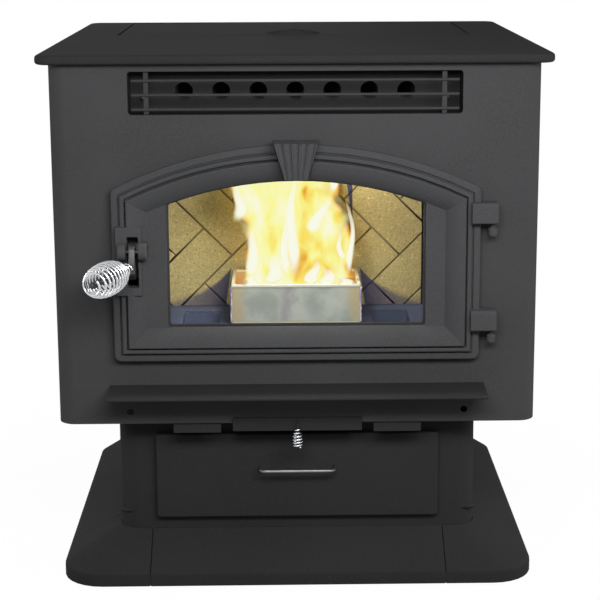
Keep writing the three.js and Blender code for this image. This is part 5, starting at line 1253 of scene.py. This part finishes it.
class STOVE_OT_casing(StoveStep, bpy.types.Operator):
    """Cabinet, top plate, pedestal and slides in matte paint with rounded edges"""

    bl_idname = "stove.casing"
    bl_label = "Casing"

    def execute(self, context):
        sheet, plate = self.sizes.sheet_round, self.sizes.edge_round
        for node in ("front_panel", "side_panel_left", "side_panel_right", "rear_panel"):
            softened(node, "cabinet_paint", sheet)
        # Painted shade: the tube plate, top plate, lid, hinge, drawer, pedestal and slides take the darker copy
        # of the casting paint.
        softened("tube_plate", "lower_paint", sheet)
        for node in ("top_plate", "hopper_lid", "lid_hinge", "ash_drawer"):
            softened(node, "lower_paint", plate)
        for node in ("pedestal", "fly_ash_slide_left", "fly_ash_slide_right", "ash_dump_slide"):
            softened(node, "lower_paint", sheet)
        softened("cabinet_floor", "black_paint", 0.0)
        softened("ash_chutes", "fire_lining", 0.0)
        return {"FINISHED"}


class STOVE_OT_castings(StoveStep, bpy.types.Operator):
    """Door, keystone, hinges, ash lip, grille and the flared base, with a dark block of painted shade in the
    gap at each seam
    """

    bl_idname = "stove.castings"
    bl_label = "Castings"

    def execute(self, context):
        width = self.sizes.edge_round
        # Painted shade: the base and the ash lip take the darker copy of the casting paint.
        for part in ("front", "back", "corner_left", "corner_right", "side_left", "side_right"):
            softened("base_" + part, "lower_paint", width * 1.6)
        softened("ash_lip", "lower_paint", width * 1.6)
        # Painted light: the door, keystone and hinge brackets take the paler copy of the casting paint.
        softened("door_frame", "door_paint", width * 0.75, sharp=34.0)
        softened("keystone", "door_paint", width * 0.6, sharp=40.0)
        softened("outlet_grille", "cast_paint", width * 0.5)
        for node in ("hinge_bracket_upper", "hinge_bracket_lower"):
            softened(node, "door_paint", width * 0.6)
        self.seal("base_seal_left", "base_corner_left", -1)
        self.seal("base_seal_right", "base_corner_right", 1)
        return {"FINISHED"}

    def seal(self, name, corner, side):
        """A dark block in the gap between the base's front and its corner, at the foot: painted shade, standing
        in for the shade inside the gap.
        """
        play = 0.00002  # between the block and each casting
        foot = 0.0006
        set_back, reach, climb = 0.0012, 0.02, 0.009  # the block's front and back from the lip, and its rise
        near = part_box("base_front")[0].y
        front, beside = (
            [v.co for v in NODES[node].data.vertices if v.co.y < near + MM] for node in ("base_front", corner)
        )
        start, end = max(p.x * side for p in front) + play, min(p.x * side for p in beside) - play
        lip = max(p.z for p in front)
        points = [
            (side * x, near + depth, z)
            for x in (start, end)
            for depth, top in ((set_back, lip), (reach, lip + climb))
            for z in (foot, top)
        ]
        faces = [(0, 1, 3, 2), (4, 6, 7, 5), (0, 4, 5, 1), (2, 3, 7, 6), (0, 2, 6, 4), (1, 5, 7, 3)]
        if side < 0:
            faces = [face[::-1] for face in faces]
        dress(link(name, mesh_from(name, points, faces, smooth=False)), "black_paint", "stove")


class STOVE_OT_door_fittings(StoveStep, bpy.types.Operator):
    """Glass, retainer, rope seal, latch and drawer pull"""

    bl_idname = "stove.door_fittings"
    bl_label = "Door fittings"

    def execute(self, context):
        softened("door_glass", "glass", 0.0006)
        softened("glass_retainer", "black_paint", 0.0003)
        softened("door_gasket", "rope", 0.0022, segments=3)
        softened("latch_pin", "dark_steel", 0.0005)
        softened("latch_lever", "dark_steel", 0.0007)
        softened("latch_catch", "bare_steel", 0.0005)
        softened("drawer_pull", "bare_steel", 0.0, sharp=60.0)
        return {"FINISHED"}


# The handle leans to the left and a little down from the lever. Both springs start where their nodes do.
HANDLE_LEAN, HANDLE_DROP = math.radians(24.0), math.radians(2.0)
HANDLE_ROOT = Vector((-226.5 * MM, FACE_Y - 38.0 * MM, 474.0 * MM))
HANDLE_START = Vector((0.0, 0.0, 13.2 * MM))
KNOB_ROOT = Vector((0.0, FACE_Y - 12.6 * MM, 233.0 * MM))


class STOVE_OT_springs(StoveStep, bpy.types.Operator):
    """The bright wire springs of the latch handle and the small knob"""

    bl_idname = "stove.springs"
    bl_label = "Springs"

    def execute(self, context):
        flat = math.cos(HANDLE_DROP)
        along = Vector((-math.sin(HANDLE_LEAN) * flat, -math.cos(HANDLE_LEAN) * flat, -math.sin(HANDLE_DROP)))
        turn = Vector((0.0, 0.0, 1.0)).rotation_difference(along)
        handle = self.coil(length=0.094, turns=13, wide=0.0222, neck=0.0076, lead=0.0032)
        handle = [turn @ (p + HANDLE_START) + HANDLE_ROOT for p in handle]
        self.wind("handle_coil_wire", handle, 0.0016, "handle_coil")
        knob = self.coil(length=0.027, turns=6, wide=0.0072, neck=0.0034, lead=0.0026)
        knob = [Vector((p.x, -p.y, -p.z)) + KNOB_ROOT for p in knob]
        self.wind("spring_knob_wire", knob, 0.0013, "spring_knob")
        return {"FINISHED"}

    def coil(self, length, turns, wide, neck, lead):
        """A narrow neck, then a round belly that draws in at the tip. lead is the straight bit at each end."""
        widest, half_belly = 0.6, 0.41  # along the coil, as shares of its length
        line = []
        steps = turns * 28
        for i in range(steps + 1):
            t = i / steps
            belly = math.sqrt(max(0.0, 1.0 - ((t - widest) / half_belly) ** 2))
            radius = neck + (wide - neck) * belly
            angle = 2 * math.pi * turns * t
            line.append(Vector((radius * math.cos(angle), radius * math.sin(angle), length * t)))
        line.insert(0, line[0] + (line[0] - line[1]).normalized() * lead)
        line.append(line[-1] + (line[-1] - line[-2]).normalized() * lead)
        return line

    def wind(self, name, line, radius, node):
        paint_node(node, "bright_wire")
        piece = link(name, tube_mesh(name, line, radius, 12))
        dress(piece, "bright_wire", body_of(node), (node,))


class STOVE_OT_firebox(StoveStep, bpy.types.Operator):
    """Firebox lining, brick panel, burn pot, heat tubes and welds"""

    bl_idname = "stove.firebox"
    bl_label = "Firebox"

    def execute(self, context):
        softened("firebox", "fire_lining", 0.0004)
        softened("brick_panel", "brick", 0.0011, sharp=50.0)
        softened("burn_pot", "pot_steel", 0.0007)
        for i in range(1, 8):
            softened("heat_tube_%d" % i, "bare_steel", 0.0003)
        self.mouth_weld()
        self.corner_weld("pot_weld_left", -1)
        self.corner_weld("pot_weld_right", 1)
        return {"FINISHED"}

    def mouth_weld(self):
        """A thin weld along the floor of the firebox's mouth, painted bright as a highlight of that edge."""
        half, depth, rise, ripple = 0.19, 0.004, 0.0016, 0.00025
        front = FACE_Y + 0.012
        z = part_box("burn_pot")[0].z
        rng = random.Random(3)
        count = 60
        points, faces = [], []
        for i in range(count + 1):
            x = -half + 2 * half * i / count
            top = z + (rise + rng.uniform(-ripple, ripple))
            points += [(x, front, z), (x, front, top), (x, front + depth, top), (x, front + depth, z)]
        for i in range(count):
            for k in range(4):
                n = (k + 1) % 4
                faces.append((4 * i + k, 4 * i + 4 + k, 4 * i + 4 + n, 4 * i + n))
        faces += [(0, 1, 2, 3), tuple(4 * count + k for k in (3, 2, 1, 0))]
        dress(link("mouth_weld", outward(mesh_from("mouth_weld", points, faces))), "weld_bead", "stove")

    def corner_weld(self, name, side):
        """The rippled weld bead up a front corner of the burn pot, painted bright as a highlight of that
        corner.
        """
        low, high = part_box("burn_pot")
        half_width, inset, radius = 0.0962, 0.0012, 0.0015
        foot, shorter = 0.003, 0.008  # the bead starts above the pot's foot and is shorter than the pot
        wander_x, wander_y = 0.0004, 0.0003
        rng = random.Random(13 + side)
        line = []
        count = 40
        for i in range(count + 1):
            x = side * half_width + rng.uniform(-wander_x, wander_x)
            y = low.y + inset + rng.uniform(-wander_y, wander_y)
            line.append(Vector((x, y, low.z + foot + (high.z - low.z - shorter) * i / count)))
        dress(link(name, tube_mesh(name, line, radius, 10)), "weld_bead", "stove")


# The fire's outline from the pot upwards: height, left side, right side.
FIRE_OUTLINE = (
    (0.400, -0.087, 0.090),
    (0.420, -0.075, 0.089),
    (0.445, -0.074, 0.091),
    (0.470, -0.084, 0.092),
    (0.488, -0.084, 0.089),
    (0.505, -0.092, 0.086),
    (0.524, -0.095, 0.070),
    (0.550, -0.108, 0.068),
    (0.580, -0.104, 0.058),
    (0.606, -0.082, 0.046),
    (0.628, -0.048, 0.026),
)
# The bright licks: foot X, tip X, foot and tip height, width and bow to the side.
LICKS = (
    (-0.004, 0.006, 0.406, 0.625, 0.026, -0.006),
    (-0.018, -0.024, 0.410, 0.540, 0.020, 0.006),
    (0.022, 0.062, 0.478, 0.556, 0.030, -0.004),
    (0.080, 0.073, 0.415, 0.560, 0.013, 0.006),
    (-0.062, -0.052, 0.410, 0.520, 0.026, -0.008),
    (-0.084, -0.090, 0.500, 0.575, 0.026, 0.004),
    (0.052, 0.046, 0.540, 0.622, 0.018, 0.006),
    (0.066, 0.060, 0.440, 0.500, 0.013, 0.003),
    (0.018, 0.030, 0.404, 0.455, 0.030, 0.004),
    (0.048, 0.040, 0.404, 0.440, 0.034, 0.004),
    (0.076, 0.062, 0.403, 0.426, 0.034, 0.004),
    (-0.040, -0.030, 0.404, 0.470, 0.034, 0.004),
    (-0.070, -0.066, 0.403, 0.430, 0.024, 0.003),
)


class STOVE_OT_fire(StoveStep, bpy.types.Operator):
    """Flames above the burn pot and the glowing bed in it"""

    bl_idname = "stove.fire"
    bl_label = "Fire"

    def execute(self, context):
        low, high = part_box("burn_pot")
        y = (low.y + high.y) / 2
        self.sheet("flame_back", y + 0.024, share=1.0, bow=0.012, shift=0.0, seed=11, crisp=1.0)
        self.sheet("flame_middle", y, share=0.97, bow=-0.014, shift=0.002, seed=23, crisp=0.3)
        self.sheet("flame_front", y - 0.026, share=0.9, bow=0.010, shift=-0.004, seed=37, crisp=0.25)
        self.tongues(y - 0.036)
        self.bed(y, low.z + 0.026)
        return {"FINISHED"}

    def tongues(self, y):
        """Slim leaves of flame that stand in front of the sheets."""
        points, faces, rim, lift = [], [], [], []
        across, up = 8, 26
        for k, (foot, tip, low, high, width, bow) in enumerate(LICKS):
            faces += grid_faces(across, up, len(points))
            for j in range(up + 1):
                t = j / up
                middle = foot + (tip - foot) * t + bow * math.sin(math.pi * t)
                middle += 0.0025 * math.sin(3 * math.pi * t + k)
                half = width * 0.62 * (1.002 - t) ** 0.9 * (0.45 + 0.55 * min(1.0, 4 * t))
                for i in range(across + 1):
                    u = i / across * 2 - 1
                    depth = y - 0.0012 * k + 0.003 * u * u
                    points.append((middle + half * u, depth, low + (high - low) * t))
                    rim.append((1 - u * u) * min(1.0, 5 * t, 3 * (1 - t)))
                    lift.append(t)
        mesh = store(mesh_from("flame_tongues", points, faces), rim=rim, lift=lift)
        dress(link("flame_tongues", mesh), "flame_tongue", "stove")

    def sheet(self, name, y, share, bow, shift, seed, crisp):
        """One curved sheet of flame, with its outline waved and its rim, core and lift stored on its points.

        share is its size against the outline, bow its curve in depth, shift its step to the side, and crisp how
        fast it turns solid inward from its rim.
        """
        rng = random.Random(seed)
        heights, lefts, rights = zip(*FIRE_OUTLINE)
        low, high = heights[0], heights[0] + (heights[-1] - heights[0]) * share
        across, up = 56, 72
        phase = [rng.uniform(0, 6.28) for _ in range(6)]
        points, rim, core, lift = [], [], [], []
        for j in range(up + 1):
            t = j / up
            z = low + (high - low) * t
            left, right = float(np.interp(z, heights, lefts)), float(np.interp(z, heights, rights))
            wobble = 0.0035 * math.sin(z * 90 + phase[0]) + 0.002 * math.sin(z * 230 + phase[1])
            left, right = left * share + wobble + shift, right * share + wobble * 0.6 + shift
            for i in range(across + 1):
                u = i / across
                x = left + (right - left) * u
                sway = 0.006 * math.sin(x * 60 + z * 40 + phase[2]) + 0.004 * math.sin(z * 120 + phase[3])
                points.append((x, y + bow * math.sin(math.pi * u) + sway, z))
                inside = min(1.0, min(u, 1 - u) * 2, (1 - t) * 2.4)
                rim.append(inside * crisp)
                core.append(inside + (1.0 - crisp) * 0.25)
                lift.append(t)
        mesh = store(mesh_from(name, points, grid_faces(across, up)), rim=rim, core=core, lift=lift)
        dress(link(name, mesh), "flame", "stove")

    def bed(self, y, z):
        """The glowing pellets in the pot, on a glowing ground."""
        half, hump, rough = Vector((0.086, 0.044)), 0.010, 0.001
        rng = random.Random(5)
        count = 24

        def place(u, v):
            u, v = u * 2 - 1, v * 2 - 1
            rise = hump * (1 - u * u) * (1 - v * v)
            return half.x * u, y + half.y * v, z + rise + rng.uniform(-rough, rough)

        base, faces = grid_points(count, place), grid_faces(count, count)
        heap = link("ember_bed", mesh_from("ember_bed", base, faces))
        run_tree(heap, pellet_tree(), self.pellet_inputs(0.0055, self.sizes.seed + 2, "ember"))
        dress(heap, "ember", "stove")
        dress(link("ember_floor", mesh_from("ember_floor", lower(base, 0.003), faces)), "ember", "stove")


class STOVE_OT_feed(StoveStep, bpy.types.Operator):
    """Hopper, feed screw, chute and motor, with the pellets in the hopper"""

    bl_idname = "stove.feed"
    bl_label = "Feed"

    def execute(self, context):
        for node in ("hopper", "auger_tube", "feed_chute"):
            softened(node, "zinc_sheet", self.sizes.sheet_round * 0.8)
        softened("auger", "bare_steel", 0.0, sharp=60.0)
        softened("auger_motor", "black_paint", self.sizes.edge_round)
        self.pellets()
        return {"FINISHED"}

    def pellets(self):
        """A low heap of pellets that fills the hopper's taper at the level, on a ground of the same colour."""
        level, wall = self.sizes.pellet_level, 0.004
        taper_top, taper_depth = 0.7, 0.2
        down = (taper_top - level) / taper_depth  # how far the level is down the hopper's taper
        # The taper's half width, front and back at the level, inside the wall.
        half = 0.268 - 0.24 * down - wall
        front = FACE_Y + 0.374 + 0.117 * down + wall
        back = FACE_Y + 0.648 - 0.07 * down - wall
        sunk, tall, wave, rough = 0.012, 0.018, 0.006, 0.0015
        rng = random.Random(9)
        count = 44

        def place(u, v):
            x = -half + 2 * half * u
            y = front + (back - front) * v
            heap = tall * math.sin(math.pi * u) * math.sin(math.pi * v)
            dip = wave * math.sin(x * 31 + 1.7) * math.sin(y * 37)
            return x, y, level - sunk + heap + dip + rng.uniform(-rough, rough)

        points, faces = grid_points(count, place), grid_faces(count, count)
        ground = mesh_from("pellet_ground", lower(points, 0.004), faces)
        dress(link("pellet_ground", store(ground, tone=[0.1] * len(points))), "wood_pellet", "stove")
        heap = link("pellets", mesh_from("pellets", points, faces))
        run_tree(heap, pellet_tree(), self.pellet_inputs(0.0082, self.sizes.seed, "wood_pellet"))
        dress(heap, "wood_pellet", "stove")


class STOVE_OT_air(StoveStep, bpy.types.Operator):
    """Blowers, duct, flue and air inlet"""

    bl_idname = "stove.air"
    bl_label = "Air and flue"

    def execute(self, context):
        for node in ("exhaust_blower", "flue_collar", "air_inlet_pipe", "room_blower", "air_duct"):
            softened(node, "zinc_sheet", self.sizes.sheet_round * 0.8)
        softened("room_blower_wheel", "zinc_sheet", 0.0, sharp=60.0)
        softened("exhaust_impeller", "bare_steel", 0.0003)
        return {"FINISHED"}


# The keys of the control panel: place from its middle, height above its foot, width and height.
KEYS = (
    (-0.016, 0.040, 0.020, 0.013),
    (0.016, 0.040, 0.020, 0.013),
    (-0.016, 0.070, 0.020, 0.013),
    (0.016, 0.070, 0.020, 0.013),
    (0.0, 0.104, 0.034, 0.015),
)


class STOVE_OT_controls(StoveStep, bpy.types.Operator):
    """Control panel with its keys and display, and the mains inlet with its blades"""

    bl_idname = "stove.controls"
    bl_label = "Controls"

    def execute(self, context):
        softened("control_panel", "plastic", 0.0008)
        softened("power_inlet", "plastic", 0.0006)
        low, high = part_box("control_panel")
        middle = (low.y + high.y) / 2
        for i, (dy, dz, width, height) in enumerate(KEYS):
            place = (high.x, middle + dy, low.z + dz)
            self.pad("control_key_%d" % (i + 1), place, (width, height), rise=0.0009, look="key_rubber")
        place = (high.x - 0.0009, middle, high.z - 0.028)
        self.pad("control_display", place, (0.0445, 0.0225), rise=0.0006, look="display")
        self.blades()
        return {"FINISHED"}

    def pad(self, name, place, size, rise, look):
        """A low pad with rounded corners and a crowned face."""
        x, y, z = place
        width, height = size
        rings = ((1.0, 0.0), (1.0, 0.55), (0.93, 0.85), (0.8, 1.0))  # size and rise, from foot to face
        squareness = 0.35  # the outline's power: 1 is an ellipse, 0 a rectangle
        count = 32
        work = bmesh.new()
        loops = []
        for share, up in rings:
            inset = (1 - share) * height / 2
            loop = []
            for k in range(count):
                a = 2 * math.pi * k / count
                c, s = math.cos(a), math.sin(a)
                cy = math.copysign(abs(c) ** squareness, c) * width / 2
                cz = math.copysign(abs(s) ** squareness, s) * height / 2
                cy -= math.copysign(inset, cy)
                cz -= math.copysign(inset, cz) if abs(cz) > inset else 0.0
                loop.append(work.verts.new((x + rise * up, y + cy, z + cz)))
            loops.append(loop)
        for a, b in zip(loops, loops[1:]):
            for k in range(count):
                n = (k + 1) % count
                work.faces.new((a[k], a[n], b[n], b[k]))
        work.faces.new(loops[-1])
        work.faces.new(list(reversed(loops[0])))
        bmesh.ops.recalc_face_normals(work, faces=work.faces)
        for face in work.faces:
            face.smooth = True
        mesh = mesh_of(name, work)
        mesh.set_sharp_from_angle(angle=math.radians(40.0))
        dress(link(name, mesh), look, "stove")

    def blades(self):
        """The three blades in the mains inlet, the middle one lower."""
        low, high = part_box("power_inlet")
        x, z = (low.x + high.x) / 2, (low.z + high.z) / 2
        size = (0.0016, 0.0032, 0.004)
        for i, (dx, dz) in enumerate(((-0.006, 0.002), (0.0, -0.002), (0.006, 0.002))):
            work = bmesh.new()
            made = bmesh.ops.create_cube(work, size=1.0)
            bmesh.ops.scale(work, verts=made["verts"], vec=size)
            bmesh.ops.translate(work, verts=made["verts"], vec=(x + dx, low.y + size[1], z + dz))
            bmesh.ops.bevel(work, geom=work.edges[:], offset=0.0003, segments=2, affect="EDGES")
            dress(link("inlet_blade_%d" % (i + 1), mesh_of("inlet_blade", work)), "bright_wire", "stove")


# Where the screws go: two at the ends of the outlet, and round the rear panel's sides, foot and head.
OUTLET_SCREWS = [(x, FACE_Y + 45.0 * MM, 0.697) for x in (-0.213, 0.213)]
REAR_SIDE_X, REAR_SIDE_Z = (-0.325, 0.325), (0.262, 0.38, 0.5, 0.62, 0.73)
REAR_ROW_X, REAR_ROW_Z = (-0.2, -0.07, 0.07, 0.2), (0.252, 0.735)


class STOVE_OT_fasteners(StoveStep, bpy.types.Operator):
    """Sheet-metal screws round the panels and the outlet"""

    bl_idname = "stove.fasteners"
    bl_label = "Fasteners"

    def execute(self, context):
        tree = screw_tree()
        head = self.sizes.screw_head
        self.row(tree, "outlet_screws", OUTLET_SCREWS, (math.pi / 2, 0.0, 0.0), head)
        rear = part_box("rear_panel")[1].y
        places = [(x, rear, z) for x in REAR_SIDE_X for z in REAR_SIDE_Z]
        places += [(x, rear, z) for x in REAR_ROW_X for z in REAR_ROW_Z]
        self.row(tree, "rear_panel_screws", places, (-math.pi / 2, 0.0, 0.0), head)
        low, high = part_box("control_panel")
        inset = 0.007
        heights = (low.z + inset, high.z - inset)
        places = [(high.x, y, z) for y in (low.y + inset, high.y - inset) for z in heights]
        self.row(tree, "control_panel_screws", places, (0.0, math.pi / 2, 0.0), head * 0.7)
        return {"FINISHED"}

    def row(self, tree, name, places, facing, head):
        mesh = bpy.data.meshes.new(name)
        mesh.from_pydata(places, [], [])
        piece = link(name, mesh)
        look = "dark_steel"
        run_tree(piece, tree, {"Head": head, "Rise": head * 0.28, "Facing": facing, "Finish": finish(look)})
        for polygon in piece.data.polygons:
            polygon.use_smooth = True
        piece.data.set_sharp_from_angle(angle=math.radians(35.0))
        dress(piece, look, "stove")


class STOVE_OT_ash(StoveStep, bpy.types.Operator):
    """A low heap of ash in the drawer"""

    bl_idname = "stove.ash"
    bl_label = "Ash"

    def execute(self, context):
        x0, x1 = -0.192, 0.192
        y0, y1 = FACE_Y + 0.0492, FACE_Y + 0.5122
        floor = 0.0946  # the inside of the drawer's pan
        pot_drop, side_drop, side_x = FACE_Y + 0.19, FACE_Y + 0.16, 0.143  # where the ash falls
        least, pot_heap, side_heap = 0.003, 0.020, 0.006
        lump = 0.4  # how much of their drawn height the bumps get
        rng = random.Random(21)
        bumps = [
            (rng.uniform(x0, x1), rng.uniform(y0, y1), rng.uniform(0.015, 0.05), rng.uniform(0.002, 0.008))
            for _ in range(60)
        ]
        count = 60

        def place(u, v):
            x, y = x0 + (x1 - x0) * u, y0 + (y1 - y0) * v
            edge = min(u, 1 - u, v, 1 - v) * 2
            z = least + pot_heap * math.exp(-((x / 0.1) ** 2) - ((y - pot_drop) / 0.12) ** 2)
            z += side_heap * math.exp(-(((abs(x) - side_x) / 0.05) ** 2) - ((y - side_drop) / 0.1) ** 2)
            for bx, by, width, tall in bumps:
                z += tall * lump * math.exp(-((x - bx) ** 2 + (y - by) ** 2) / (width * width))
            return x, y, floor + z * min(1.0, 0.25 + edge * 3)

        mesh = mesh_from("drawer_ash", grid_points(count, place), grid_faces(count, count))
        dress(link("drawer_ash", mesh), "ash", "drawer")
        return {"FINISHED"}


class STOVE_PT_sidebar(bpy.types.Panel):
    """Sizes, finishes and steps of the stove"""

    bl_label = "Pellet Stove"
    bl_space_type = "VIEW_3D"
    bl_region_type = "UI"
    bl_category = "Stove"

    def draw(self, context):
        scene = context.scene
        for title, group in (
            ("Finishes", scene.stove_finishes),
            ("Sizes", scene.stove_sizes),
            ("Stage", scene.stove_stage),
        ):
            box = self.layout.box()
            box.label(text=title)
            for name in group.bl_rna.properties.keys():
                if name not in ("rna_type", "name"):
                    box.prop(group, name)
        for step in STEPS:
            self.layout.operator(step.bl_idname)


STEPS = (
    STOVE_OT_stage,
    STOVE_OT_casing,
    STOVE_OT_castings,
    STOVE_OT_door_fittings,
    STOVE_OT_springs,
    STOVE_OT_firebox,
    STOVE_OT_fire,
    STOVE_OT_feed,
    STOVE_OT_air,
    STOVE_OT_controls,
    STOVE_OT_fasteners,
    STOVE_OT_ash,
)
GROUPS = (StoveFinishes, StoveSizes, StoveStage)


def register():
    for group in GROUPS:
        bpy.utils.register_class(group)
    bpy.types.Scene.stove_finishes = PointerProperty(type=StoveFinishes)
    bpy.types.Scene.stove_sizes = PointerProperty(type=StoveSizes)
    bpy.types.Scene.stove_stage = PointerProperty(type=StoveStage)
    for step in STEPS:
        bpy.utils.register_class(step)
    bpy.utils.register_class(STOVE_PT_sidebar)


def unregister():
    bpy.utils.unregister_class(STOVE_PT_sidebar)
    for step in reversed(STEPS):
        bpy.utils.unregister_class(step)
    del bpy.types.Scene.stove_stage
    del bpy.types.Scene.stove_sizes
    del bpy.types.Scene.stove_finishes
    for group in reversed(GROUPS):
        bpy.utils.unregister_class(group)


def main():
    register()
    for step in STEPS:
        group, name = step.bl_idname.split(".")
        getattr(getattr(bpy.ops, group), name)()


if __name__ == "__main__":
    main()
